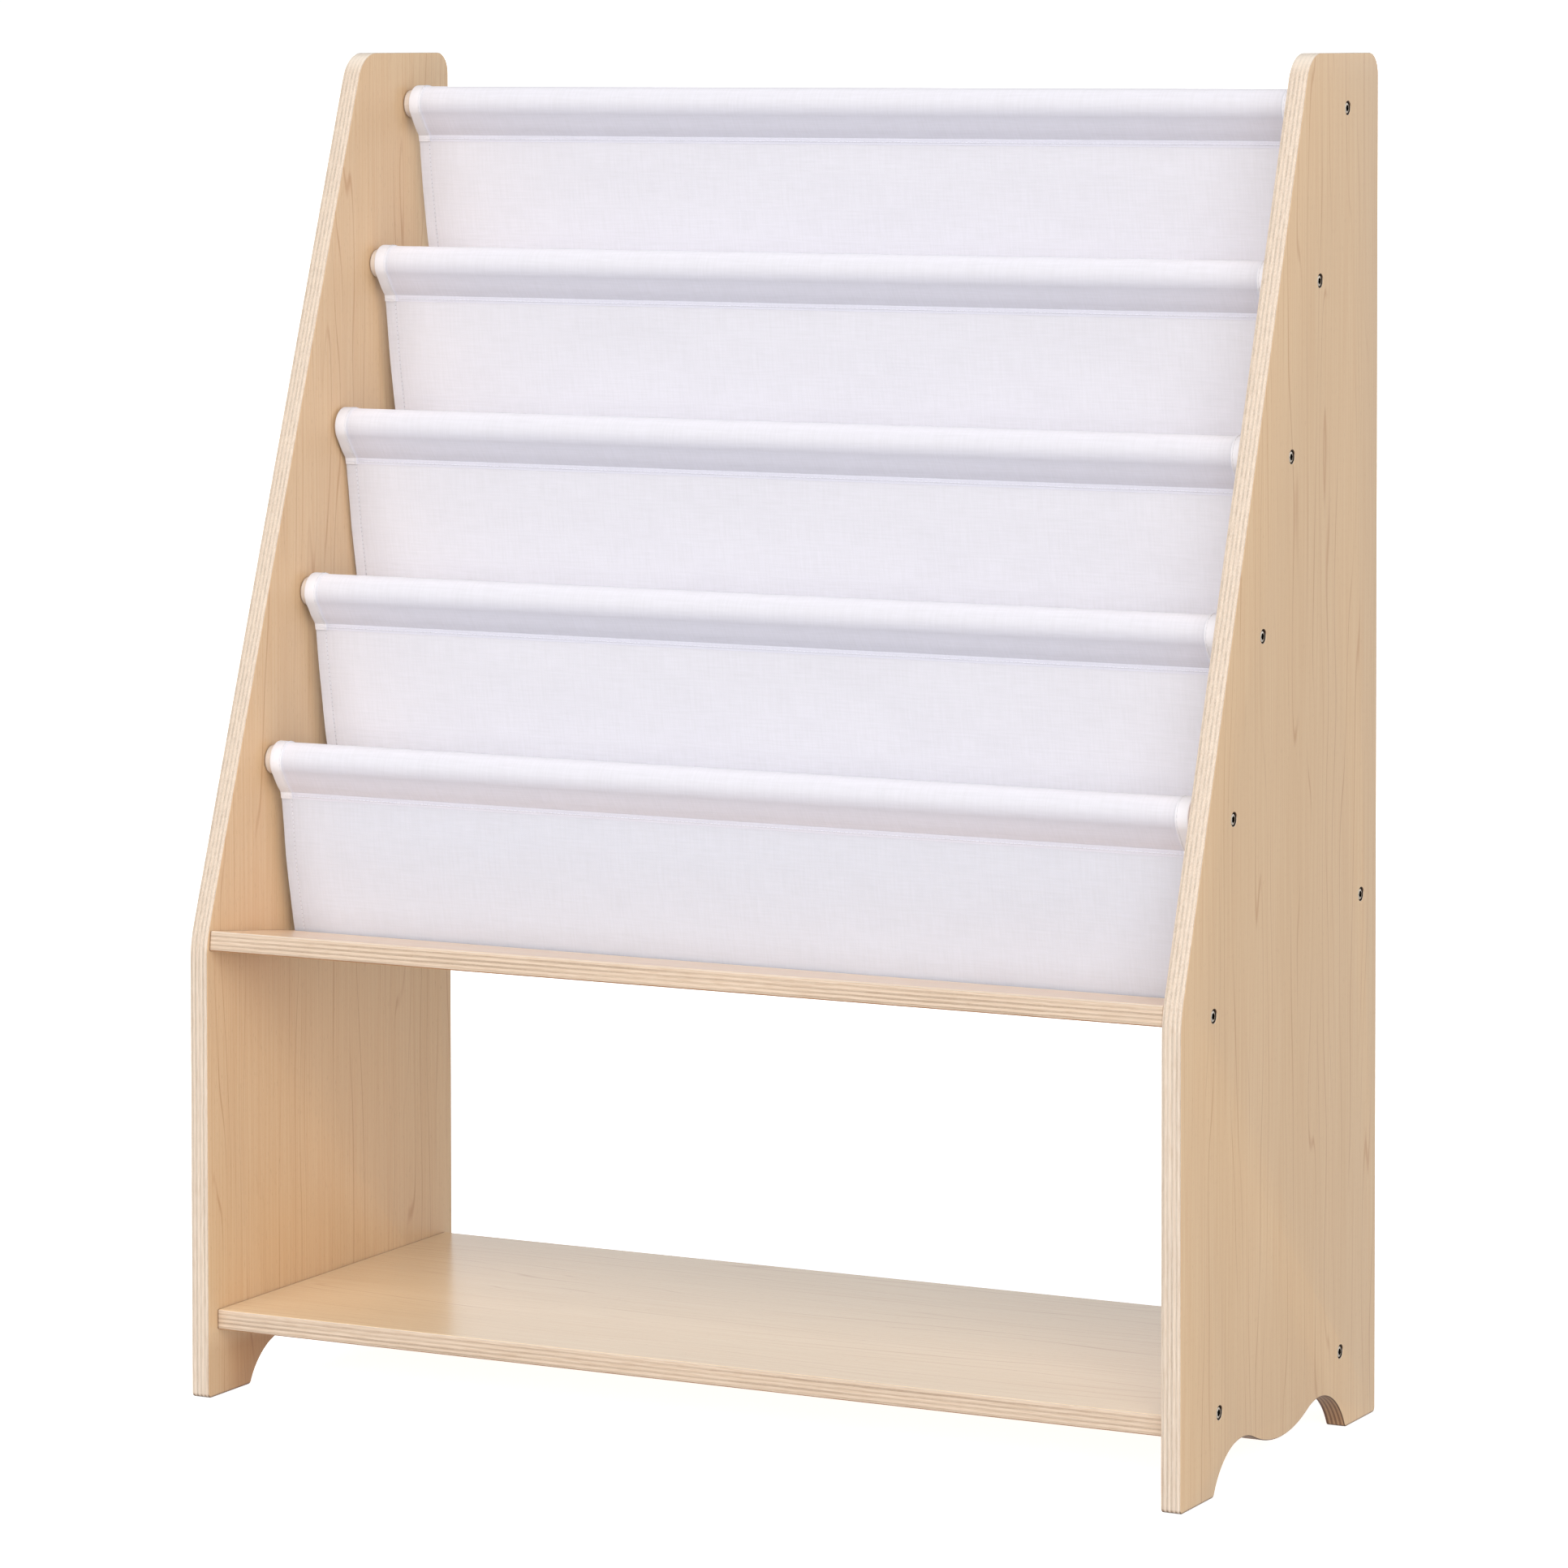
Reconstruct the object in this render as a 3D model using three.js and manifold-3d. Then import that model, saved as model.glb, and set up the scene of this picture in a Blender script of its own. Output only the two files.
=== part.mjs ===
import * as THREE from 'three';
import { mergeVertices } from 'three/addons/utils/BufferGeometryUtils.js';
import Module from 'manifold-3d';

// Children's sling bookshelf: two plywood sides, a bottom shelf, a narrow tilted
// book ledge, five sleeved front rods, one rear rod and five canvas sheets.
// Millimetres, +Z up, front towards -Y, origin on the floor under the middle.

const wasm = await Module();
wasm.setup();

// Case
const caseWidth = 815;
const caseDepth = 362;
const caseHeight = 1016;
const plyThickness = 15;
const arris = 0.8;
const seatGap = 0.3;

// Side panel outline
const kneeHeight = 345.5;
const kneeRadius = 80;
const topLength = 130.5;
const topCornerRadius = 18;
const footLength = 58.5;
const footCornerRadius = 3.5;
const archHeight = 32;
const lobeHeight = 18;
const archCrownShare = 0.585;

// Bottom shelf
const shelfClearance = 50.5;
const shelfInset = 12.5;
const shelfBoltInset = 56;

// Book ledge, the narrow board that leans back against the lowest sheet
const ledgeHeight = 339.8;
const ledgeInset = 3.2;
const ledgeTilt = THREE.MathUtils.degToRad(7);
const ledgeSheetGap = 1.5;
const ledgePinSpacing = 32;

// Rods: the front ones stand on one sloping line between the lowest and the top one
const rodDiameter = 22;
const frontRodCount = 5;
const lowRodHeight = 475.5;
const lowRodInset = 92.7;
const topRodDrop = 40.5;
const topRodInset = 59.5;
const rearRodHeight = 392.5;
const rearRodInset = 30;

// Canvas, two layers thick and soft where it goes round a rod
const canvasThickness = 1.2;
const sleeveThickness = 2.8;
const sheetSideGap = 7;
const sleeveTail = 11.7;
const sheetLean = THREE.MathUtils.degToRad(6);
const sheetBowRadius = 850;
const pocketDrop = 149;
const pocketTurnRadius = 12;
const backSheetHandle = 140;
const seamTabRise = 12;
const seamTabHeight = 12;
const seamTurnRadius = 4;

// Connector bolts
const boltDiameter = 6;
const boltLength = 45;
const boltTipChamfer = 0.8;
const headDiameter = 10;
const headHeight = 6;
const headRecess = 0.3;
const headChamfer = 0.5;
const socketAcrossFlats = 4;
const socketDepth = 3.2;

// Threaded inserts, barrel nuts and locating pins
const insertDiameter = 10;
const insertLength = 18;
const insertChamfer = 0.7;
const barrelNutDiameter = 10;
const barrelNutCover = 2;
const barrelNutInset = 28;
const pinDiameter = 8;
const pinLength = 30;
const pinPanelDepth = 10;
const pinChamfer = 1;

// Rounding of the facets and the overrun of every cutting tool
const chordTolerance = 0.12;
const overrun = 2;

const innerWidth = caseWidth - 2 * plyThickness;
const rodRadius = rodDiameter / 2;
const frontEdge = -caseDepth / 2;
const rearEdge = caseDepth / 2;

// Every piece is drawn in the side view: x runs to the back, y up, z across the width.

const veneer = new THREE.MeshStandardMaterial({ color: 0xd9bc99, roughness: 0.45, metalness: 0 });
const dowelWood = new THREE.MeshStandardMaterial({ color: 0xe0c7a4, roughness: 0.55, metalness: 0 });
const canvas = new THREE.MeshStandardMaterial({ color: 0xe9e7ec, roughness: 0.9, metalness: 0 });
const nickel = new THREE.MeshStandardMaterial({ color: 0xa9a39b, roughness: 0.3, metalness: 1 });
const zincAlloy = new THREE.MeshStandardMaterial({ color: 0xb9a06a, roughness: 0.4, metalness: 1 });
const beech = new THREE.MeshStandardMaterial({ color: 0xd6b483, roughness: 0.7, metalness: 0 });

// Round stretches

function stepsFor(radius, sweep) {
  return Math.max(2, Math.ceil(Math.abs(sweep) / (2 * Math.acos(1 - chordTolerance / radius))));
}

function arcPoints(centre, radius, from, to) {
  const steps = stepsFor(radius, to - from);
  return Array.from({ length: steps + 1 }, (_, i) => {
    return direction(from + ((to - from) * i) / steps).multiplyScalar(radius).add(centre);
  });
}

function roundCorner(before, corner, after, radius) {
  const incoming = corner.clone().sub(before).normalize();
  const outgoing = after.clone().sub(corner).normalize();
  const turn = Math.asin(incoming.cross(outgoing));
  const sharp = incoming.dot(outgoing) < 0 ? Math.sign(turn) * Math.PI - turn : turn;
  const setback = radius * Math.tan(Math.abs(sharp) / 2);
  const start = corner.clone().addScaledVector(incoming, -setback);
  const centre = start.clone().addScaledVector(leftOf(incoming), Math.sign(sharp) * radius);
  const from = start.clone().sub(centre).angle();
  return arcPoints(centre, radius, from, from + sharp);
}

// A line of cloth or ply moved sideways to its left by a distance
function offsetLine(points, distance) {
  return points.map((point, i) => {
    const ahead = points[Math.min(i + 1, points.length - 1)];
    const behind = points[Math.max(i - 1, 0)];
    const along = ahead.clone().sub(behind).normalize();
    return point.clone().addScaledVector(leftOf(along), distance);
  });
}

function pointAtHeight(line, height) {
  const next = line.findIndex((point) => point.y <= height);
  if (next < 1) return line.at(next === 0 ? 0 : -1).clone();
  const above = line[next - 1];
  const below = line[next];
  return above.clone().lerp(below, (above.y - height) / (above.y - below.y));
}

function direction(angle) {
  return new THREE.Vector2(Math.cos(angle), Math.sin(angle));
}

function leftOf(along) {
  return new THREE.Vector2(-along.y, along.x);
}

// Solids and cuts

function toSolid(geometry) {
  const bare = geometry.clone();
  bare.deleteAttribute('normal');
  bare.deleteAttribute('uv');
  const merged = mergeVertices(bare);
  return new wasm.Manifold(new wasm.Mesh({
    numProp: 3,
    vertProperties: new Float32Array(merged.attributes.position.array),
    triVerts: new Uint32Array(merged.index.array),
  }));
}

function toGeometry(solid) {
  const mesh = solid.getMesh();
  const geometry = new THREE.BufferGeometry();
  geometry.setAttribute('position', new THREE.BufferAttribute(new Float32Array(mesh.vertProperties), 3));
  geometry.setIndex(new THREE.BufferAttribute(new Uint32Array(mesh.triVerts), 1));
  geometry.computeVertexNormals();
  return geometry;
}

function cut(geometry, tools) {
  return toGeometry(tools.reduce((solid, tool) => solid.subtract(toSolid(tool)), toSolid(geometry)));
}

function extrudeAcross(outline, width, holes = []) {
  const shape = new THREE.Shape(outline);
  shape.holes.push(...holes.map((hole) => new THREE.Path(hole)));
  const geometry = new THREE.ExtrudeGeometry(shape, { depth: width, bevelEnabled: false });
  return geometry.translate(0, 0, -width / 2);
}

function turnAcross(profile, radius) {
  const geometry = new THREE.LatheGeometry(profile, stepsFor(radius, 2 * Math.PI));
  return geometry.rotateX(Math.PI / 2);
}

function roundBar(radius, length) {
  return new THREE.CylinderGeometry(radius, radius, length, stepsFor(radius, 2 * Math.PI));
}

function boreAcross(radius, from, to, place) {
  const bore = roundBar(radius, to - from).rotateX(Math.PI / 2);
  return bore.translate(place.x, place.y, (from + to) / 2);
}

// Where the rods, bolts and pins sit in the side view

const topRodPlace = new THREE.Vector2(rearEdge - topRodInset, caseHeight - topRodDrop);
const lowRodPlace = new THREE.Vector2(frontEdge + lowRodInset, lowRodHeight);
const frontRodPlaces = Array.from({ length: frontRodCount }, (_, i) =>
  lowRodPlace.clone().lerp(topRodPlace, i / (frontRodCount - 1)));
const rearRodPlace = new THREE.Vector2(rearEdge - rearRodInset, rearRodHeight);
const rodPitch = (topRodPlace.y - lowRodPlace.y) / (frontRodCount - 1);

const shelfMiddle = shelfClearance + plyThickness / 2;
const shelfBoltPlaces = {
  front: new THREE.Vector2(frontEdge + shelfInset + shelfBoltInset, shelfMiddle),
  rear: new THREE.Vector2(rearEdge - shelfInset - shelfBoltInset, shelfMiddle),
};

// Sleeves: the canvas goes round the rod and closes in a seam on a line from its centre

const sleeveRadius = rodRadius + seatGap + sleeveThickness / 2;
const seamDistance = sleeveRadius + sleeveTail;
const sleeveHalfAngle = Math.asin(sleeveRadius / seamDistance);

function seamPoint(rodPlace, towards) {
  return rodPlace.clone().addScaledVector(direction(towards), seamDistance);
}

function sleeveOutline(rodPlace, towards, radius) {
  const reach = Math.PI / 2 - sleeveHalfAngle;
  return arcPoints(rodPlace, radius, towards + reach, towards + 2 * Math.PI - reach);
}

function sleeveHole(rodPlace, towards) {
  const radius = sleeveRadius - sleeveThickness / 2;
  const tip = rodPlace.clone().addScaledVector(direction(towards), radius / Math.sin(sleeveHalfAngle));
  return [...sleeveOutline(rodPlace, towards, radius), tip];
}

// Centre lines of the sheets, each from its seam downwards

const hangDirection = -Math.PI / 2 + sheetLean;

function sheetLeg(rodPlace, bottom) {
  const seam = seamPoint(rodPlace, hangDirection);
  const bowCentre = seam.clone().addScaledVector(direction(sheetLean), sheetBowRadius);
  const from = Math.PI + sheetLean;
  const to = Math.PI + Math.asin((bowCentre.y - bottom) / sheetBowRadius);
  return arcPoints(bowCentre, sheetBowRadius, from, to);
}

const turnTop = pocketDrop - pocketTurnRadius;

function backSheetLine() {
  const leg = sheetLeg(topRodPlace, topRodPlace.y - turnTop);
  const start = leg.at(-1);
  const along = start.clone().sub(leg.at(-2)).normalize();
  const end = seamPoint(rearRodPlace, Math.PI / 2);
  const curve = new THREE.CubicBezierCurve(
    start,
    start.clone().addScaledVector(along, backSheetHandle),
    end.clone().add(new THREE.Vector2(0, backSheetHandle)),
    end,
  );
  const steps = stepsFor(sheetBowRadius, curve.getLength() / sheetBowRadius);
  return [...leg, ...curve.getPoints(steps).slice(1)];
}

const backLine = backSheetLine();

function pocketSheetLine(rodPlace, tier) {
  const leg = sheetLeg(rodPlace, rodPlace.y - turnTop);
  const along = leg.at(-1).clone().sub(leg.at(-2)).normalize();
  const centre = leg.at(-1).clone().addScaledVector(leftOf(along), pocketTurnRadius);
  const tabBottom = backLine.at(-1).y + seamTabRise + tier * rodPitch;
  const standOff = new THREE.Vector2(canvasThickness + seatGap, 0);
  const tabFoot = pointAtHeight(backLine, tabBottom).sub(standOff);
  const tabHead = pointAtHeight(backLine, tabBottom + seamTabHeight).sub(standOff);
  const toFoot = tabFoot.clone().sub(centre);
  const floorLength = Math.sqrt(toFoot.lengthSq() - pocketTurnRadius ** 2);
  const from = Math.atan2(along.y, along.x) - Math.PI / 2;
  const to = Math.atan2(toFoot.y, toFoot.x) - Math.atan2(floorLength, pocketTurnRadius);
  const turn = arcPoints(centre, pocketTurnRadius, from, to);
  const rise = roundCorner(turn.at(-1), tabFoot, tabHead, seamTurnRadius);
  return [...leg.slice(0, -1), ...turn, ...rise, tabHead];
}

const pocketLines = frontRodPlaces.slice(0, -1).map(pocketSheetLine);

// The ledge reaches from its front inset back to the lowest sheet

const ledgeFrontTop = new THREE.Vector2(
  frontEdge + ledgeInset + plyThickness * Math.sin(ledgeTilt),
  ledgeHeight + plyThickness * Math.cos(ledgeTilt),
);

function ledgeReach(height) {
  const sheetFace = pointAtHeight(pocketLines[0], height).x - canvasThickness / 2;
  return (sheetFace - ledgeSheetGap - ledgeFrontTop.x) / Math.cos(ledgeTilt);
}

const ledgeDepth = ledgeReach(ledgeFrontTop.y - ledgeReach(ledgeFrontTop.y) * Math.sin(ledgeTilt));
const ledgeAlong = direction(-ledgeTilt);
const ledgeNormal = leftOf(ledgeAlong);
const ledgePlace = ledgeFrontTop.clone()
  .addScaledVector(ledgeAlong, ledgeDepth / 2)
  .addScaledVector(ledgeNormal, -plyThickness / 2);
const pinPlace = ledgePlace.clone().addScaledVector(ledgeAlong, ledgePinSpacing);

// Side panels

function panelOutline() {
  const kneeCorner = new THREE.Vector2(frontEdge, kneeHeight);
  const topFront = new THREE.Vector2(rearEdge - topLength, caseHeight);
  const topRear = new THREE.Vector2(rearEdge, caseHeight);
  const rearFoot = new THREE.Vector2(rearEdge, 0);
  const frontFoot = new THREE.Vector2(frontEdge, 0);
  const halfSpan = rearEdge - footLength;

  return [
    ...roundCorner(topFront, kneeCorner, frontFoot, kneeRadius),
    ...roundCorner(kneeCorner, frontFoot, new THREE.Vector2(-halfSpan, 0), footCornerRadius),
    ...footArches(halfSpan),
    ...roundCorner(new THREE.Vector2(halfSpan, 0), rearFoot, topRear, footCornerRadius),
    ...roundCorner(rearFoot, topRear, topFront, topCornerRadius),
    ...roundCorner(topRear, topFront, kneeCorner, topCornerRadius),
  ];
}

// Two arches with a lobe hanging between them, all tangent to one another, and
// a small round where each arch lands on its foot
function footArches(halfSpan) {
  const crown = halfSpan * archCrownShare;
  const landing = halfSpan - crown;
  const archRadius = (landing ** 2 + archHeight ** 2) / (2 * archHeight);
  const archCentre = new THREE.Vector2(crown, archHeight - archRadius);
  const rise = lobeHeight - archCentre.y;
  const lobeRadius = (crown ** 2 + rise ** 2 - archRadius ** 2) / (2 * (archRadius - rise));
  const lobeCentre = new THREE.Vector2(0, lobeHeight + lobeRadius);

  const footReach = archRadius + footCornerRadius;
  const footCentre = new THREE.Vector2(
    crown + Math.sqrt(footReach ** 2 - (footCornerRadius - archCentre.y) ** 2), footCornerRadius);
  const landingAngle = footCentre.clone().sub(archCentre).angle();
  const meetAngle = lobeCentre.clone().sub(archCentre).angle();

  const rearSide = [
    ...arcPoints(lobeCentre, lobeRadius, -Math.PI / 2, meetAngle - Math.PI).slice(1),
    ...arcPoints(archCentre, archRadius, meetAngle, landingAngle).slice(1),
    ...arcPoints(footCentre, footCornerRadius, landingAngle + Math.PI, 3 * Math.PI / 2).slice(1),
  ];
  const frontSide = rearSide.map((point) => new THREE.Vector2(-point.x, point.y)).reverse();
  return [...frontSide, new THREE.Vector2(0, lobeHeight), ...rearSide];
}

const headSeat = headRecess + headHeight + seatGap;
const boltPlaces = {
  ...Object.fromEntries(frontRodPlaces.map((place, i) => [`front_rod_${i + 1}`, place])),
  rear_rod: rearRodPlace,
  ledge: ledgePlace,
  shelf_front: shelfBoltPlaces.front,
  shelf_rear: shelfBoltPlaces.rear,
};

// side is 1 for the right panel and -1 for the left one, whose outer face is turned the other way
function sidePanel(side) {
  const board = new THREE.ExtrudeGeometry(new THREE.Shape(panelOutline()), {
    depth: plyThickness - 2 * arris,
    bevelThickness: arris,
    bevelSize: arris,
    bevelOffset: -arris,
    bevelSegments: 1,
  }).translate(0, 0, arris - plyThickness / 2);

  const outerFace = side * plyThickness / 2;
  const clearRadius = boltDiameter / 2 + seatGap;
  const headRadius = headDiameter / 2 + seatGap;
  const boltHoles = Object.values(boltPlaces).flatMap((place) => [
    boreAcross(clearRadius, -plyThickness / 2 - overrun, plyThickness / 2 + overrun, place),
    boreAcross(headRadius, ...span(outerFace - side * headSeat, outerFace + side * overrun), place),
  ]);
  const pinFloor = side * (pinPanelDepth + seatGap) - outerFace;
  const pinMouth = -outerFace - side * overrun;
  const pinHole = boreAcross(pinDiameter / 2 + seatGap, ...span(pinFloor, pinMouth), pinPlace);
  return cut(board, [...boltHoles, pinHole]);
}

function span(a, b) {
  return [Math.min(a, b), Math.max(a, b)];
}

// Shelf and ledge: plain boards with eased edges, a bolt bore in each end and a
// cross hole from below for the barrel nut

const boardLength = innerWidth - 2 * seatGap;
const boltReach = boltLength - (plyThickness - headSeat) + seatGap;
const barrelNutPlace = innerWidth / 2 - barrelNutInset;

function boardBlank(boardDepth) {
  const x = boardDepth / 2;
  const y = plyThickness / 2;
  return extrudeAcross([
    new THREE.Vector2(-x + arris, -y), new THREE.Vector2(x - arris, -y),
    new THREE.Vector2(x, -y + arris), new THREE.Vector2(x, y - arris),
    new THREE.Vector2(x - arris, y), new THREE.Vector2(-x + arris, y),
    new THREE.Vector2(-x, y - arris), new THREE.Vector2(-x, -y + arris),
  ], boardLength);
}

function endBore(side, place, radius, reach) {
  const face = side * innerWidth / 2;
  return boreAcross(radius, ...span(face + side * overrun, face - side * reach), place);
}

function barrelNutHole(side, x) {
  const top = plyThickness / 2 - barrelNutCover + seatGap;
  const bottom = -plyThickness / 2 - overrun;
  const hole = roundBar(barrelNutDiameter / 2 + seatGap, top - bottom);
  return hole.translate(x, (top + bottom) / 2, side * barrelNutPlace);
}

function boltedBoard(boardDepth, boltOffsets, pinOffsets) {
  const boltRadius = boltDiameter / 2 + seatGap;
  const pinRadius = pinDiameter / 2 + seatGap;
  const pinReach = pinLength - pinPanelDepth + seatGap;
  const tools = [-1, 1].flatMap((side) => [
    ...boltOffsets.flatMap((x) => [
      endBore(side, new THREE.Vector2(x, 0), boltRadius, boltReach + seatGap),
      barrelNutHole(side, x),
    ]),
    ...pinOffsets.map((x) => endBore(side, new THREE.Vector2(x, 0), pinRadius, pinReach)),
  ]);
  return cut(boardBlank(boardDepth), tools);
}

// Rods: one turned profile with a stepped bore in each end for insert and bolt tip
function rod() {
  const half = innerWidth / 2 - seatGap;
  const insertBore = insertDiameter / 2 + seatGap;
  const tipBore = boltDiameter / 2 + seatGap;
  const insertFloor = innerWidth / 2 - insertLength - 2 * seatGap;
  const tipFloor = innerWidth / 2 - boltReach - seatGap;
  const end = [
    new THREE.Vector2(0, tipFloor),
    new THREE.Vector2(tipBore, tipFloor),
    new THREE.Vector2(tipBore, insertFloor),
    new THREE.Vector2(insertBore, insertFloor),
    new THREE.Vector2(insertBore, half),
    new THREE.Vector2(rodRadius, half),
  ];
  const otherEnd = end.map((point) => new THREE.Vector2(point.x, -point.y));
  return turnAcross([...otherEnd, ...end.reverse()], rodRadius);
}

// Canvas sheets

const sheetWidth = innerWidth - 2 * sheetSideGap;

// The outside of a sleeve, from one face of its sheet round the rod to the other
function sleeveLoop(rodPlace, towards) {
  const outside = sleeveRadius + sleeveThickness / 2;
  const reach = outside / Math.sin(sleeveHalfAngle) - canvasThickness / 2 / Math.tan(sleeveHalfAngle);
  const axis = direction(towards);
  const [left, right] = [1, -1].map((side) => rodPlace.clone()
    .addScaledVector(axis, reach)
    .addScaledVector(leftOf(axis), (side * canvasThickness) / 2));
  return [left, ...sleeveOutline(rodPlace, towards, outside), right];
}

function pocketSheet(line, rodPlace) {
  const front = offsetLine(line, -canvasThickness / 2).slice(1);
  const back = offsetLine(line, canvasThickness / 2).slice(1).reverse();
  const outline = [...front, ...back, ...sleeveLoop(rodPlace, hangDirection)];
  return extrudeAcross(outline, sheetWidth, [sleeveHole(rodPlace, hangDirection)]);
}

function backSheet(line) {
  const front = offsetLine(line, -canvasThickness / 2).slice(1, -1);
  const back = offsetLine(line, canvasThickness / 2).slice(1, -1).reverse();
  const up = Math.PI / 2;
  const outline = [
    ...front, ...sleeveLoop(rearRodPlace, up),
    ...back, ...sleeveLoop(topRodPlace, hangDirection),
  ];
  const holes = [sleeveHole(rearRodPlace, up), sleeveHole(topRodPlace, hangDirection)];
  return extrudeAcross(outline, sheetWidth, holes);
}

// Fasteners, drawn for the right side with their heads towards +z

function bolt() {
  const top = -headRecess;
  const under = top - headHeight;
  const tip = under - boltLength;
  const shank = boltDiameter / 2;
  const head = headDiameter / 2;
  const body = turnAcross([
    new THREE.Vector2(0, tip),
    new THREE.Vector2(shank - boltTipChamfer, tip),
    new THREE.Vector2(shank, tip + boltTipChamfer),
    new THREE.Vector2(shank, under),
    new THREE.Vector2(head, under),
    new THREE.Vector2(head, top - headChamfer),
    new THREE.Vector2(head - headChamfer, top),
    new THREE.Vector2(0, top),
  ], head);
  const cornerRadius = socketAcrossFlats / Math.sqrt(3);
  const socket = new THREE.CylinderGeometry(cornerRadius, cornerRadius, socketDepth + overrun, 6)
    .rotateX(Math.PI / 2).translate(0, 0, top - socketDepth / 2 + overrun / 2);
  return cut(body, [socket]);
}

function threadedInsert() {
  const bore = boltDiameter / 2 + seatGap;
  const outside = insertDiameter / 2;
  const inner = -insertLength;
  return turnAcross([
    new THREE.Vector2(bore, inner),
    new THREE.Vector2(outside - insertChamfer, inner),
    new THREE.Vector2(outside, inner + insertChamfer),
    new THREE.Vector2(outside, 0),
    new THREE.Vector2(bore, 0),
    new THREE.Vector2(bore, inner),
  ], outside);
}

function barrelNut() {
  const radius = barrelNutDiameter / 2;
  const reach = radius + overrun;
  const bore = boreAcross(boltDiameter / 2 + seatGap, -reach, reach, new THREE.Vector2());
  return cut(roundBar(radius, plyThickness - 2 * barrelNutCover), [bore]);
}

function locatingPin() {
  const radius = pinDiameter / 2;
  const half = pinLength / 2;
  return turnAcross([
    new THREE.Vector2(0, -half),
    new THREE.Vector2(radius - pinChamfer, -half),
    new THREE.Vector2(radius, -half + pinChamfer),
    new THREE.Vector2(radius, half - pinChamfer),
    new THREE.Vector2(radius - pinChamfer, half),
    new THREE.Vector2(0, half),
  ], radius);
}

// Assembly

function place(parent, name, geometry, material, x = 0, y = 0, z = 0, turn = 0) {
  const mesh = new THREE.Mesh(geometry, material);
  mesh.name = name;
  mesh.position.set(x, y, z);
  mesh.rotation.y = turn;
  parent.add(mesh);
}

const sideView = new THREE.Group();
sideView.setRotationFromMatrix(new THREE.Matrix4().makeBasis(
  new THREE.Vector3(0, 1, 0), new THREE.Vector3(0, 0, 1), new THREE.Vector3(1, 0, 0)));

const panelPlace = (innerWidth + plyThickness) / 2;
place(sideView, 'side_panel_left', sidePanel(-1), veneer, 0, 0, -panelPlace);
place(sideView, 'side_panel_right', sidePanel(1), veneer, 0, 0, panelPlace);

const shelfDepth = caseDepth - 2 * shelfInset;
const shelfBoltOffset = shelfDepth / 2 - shelfBoltInset;
const shelfBoard = boltedBoard(shelfDepth, [-shelfBoltOffset, shelfBoltOffset], []);
place(sideView, 'bottom_shelf', shelfBoard, veneer, 0, shelfMiddle);

const ledge = new THREE.Group();
ledge.position.set(ledgePlace.x, ledgePlace.y, 0);
ledge.rotation.z = -ledgeTilt;
place(ledge, 'book_ledge', boltedBoard(ledgeDepth, [0], [ledgePinSpacing]), veneer);
sideView.add(ledge);

const rodGeometry = rod();
frontRodPlaces.forEach(({ x, y }, i) => {
  place(sideView, `front_rod_${i + 1}`, rodGeometry, dowelWood, x, y);
});
place(sideView, 'rear_rod', rodGeometry, dowelWood, rearRodPlace.x, rearRodPlace.y);

pocketLines.forEach((line, i) => {
  place(sideView, `pocket_sheet_${i + 1}`, pocketSheet(line, frontRodPlaces[i]), canvas);
});
place(sideView, 'back_sheet', backSheet(backLine), canvas);

const boltGeometry = bolt();
const insertGeometry = threadedInsert();
const barrelNutGeometry = barrelNut();
const pinGeometry = locatingPin();
const insertFace = innerWidth / 2 - 2 * seatGap;
const pinMiddle = innerWidth / 2 + pinPanelDepth - pinLength / 2;

for (const [sideName, side] of [['left', -1], ['right', 1]]) {
  const turn = side < 0 ? Math.PI : 0;
  const outerFace = (side * caseWidth) / 2;

  for (const [joint, { x, y }] of Object.entries(boltPlaces)) {
    place(sideView, `bolt_${sideName}_${joint}`, boltGeometry, nickel, x, y, outerFace, turn);
    if (joint.includes('rod')) {
      place(sideView, `insert_${sideName}_${joint}`, insertGeometry, zincAlloy, x, y, side * insertFace, turn);
    }
  }

  for (const [end, { x, y }] of Object.entries(shelfBoltPlaces)) {
    const name = `barrel_nut_${sideName}_shelf_${end}`;
    place(sideView, name, barrelNutGeometry, zincAlloy, x, y, side * barrelNutPlace);
  }

  place(ledge, `barrel_nut_${sideName}_ledge`, barrelNutGeometry, zincAlloy, 0, 0, side * barrelNutPlace);
  place(ledge, `locating_pin_${sideName}`, pinGeometry, beech, ledgePinSpacing, 0, side * pinMiddle);
}

const bookshelf = new THREE.Group();
bookshelf.name = 'sling_bookshelf';
bookshelf.add(sideView);

export default bookshelf;
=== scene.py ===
import bisect
import math
import random

import bmesh
import bpy
from mathutils import Euler, Matrix, Vector, noise


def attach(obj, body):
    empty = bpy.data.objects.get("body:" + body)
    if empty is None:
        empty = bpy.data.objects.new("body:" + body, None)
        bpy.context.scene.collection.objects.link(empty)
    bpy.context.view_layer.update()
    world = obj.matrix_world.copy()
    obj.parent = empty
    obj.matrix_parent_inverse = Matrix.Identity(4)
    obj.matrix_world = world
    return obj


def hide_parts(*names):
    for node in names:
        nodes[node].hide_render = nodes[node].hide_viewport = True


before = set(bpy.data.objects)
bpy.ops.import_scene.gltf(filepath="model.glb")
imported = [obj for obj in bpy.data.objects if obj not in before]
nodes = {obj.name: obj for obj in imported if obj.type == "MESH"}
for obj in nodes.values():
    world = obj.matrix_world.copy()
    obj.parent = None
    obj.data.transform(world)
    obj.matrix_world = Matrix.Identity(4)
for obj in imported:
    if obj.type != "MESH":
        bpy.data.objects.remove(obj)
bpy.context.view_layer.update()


# Camera: standing a little above and to the right of the shelf, four and a half
# metres away, with a long lens whose rise keeps the uprights parallel.
def placed(name, data):
    """A new object in the scene for some data."""
    thing = bpy.data.objects.new(name, data)
    bpy.context.scene.collection.objects.link(thing)
    return thing


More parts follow.
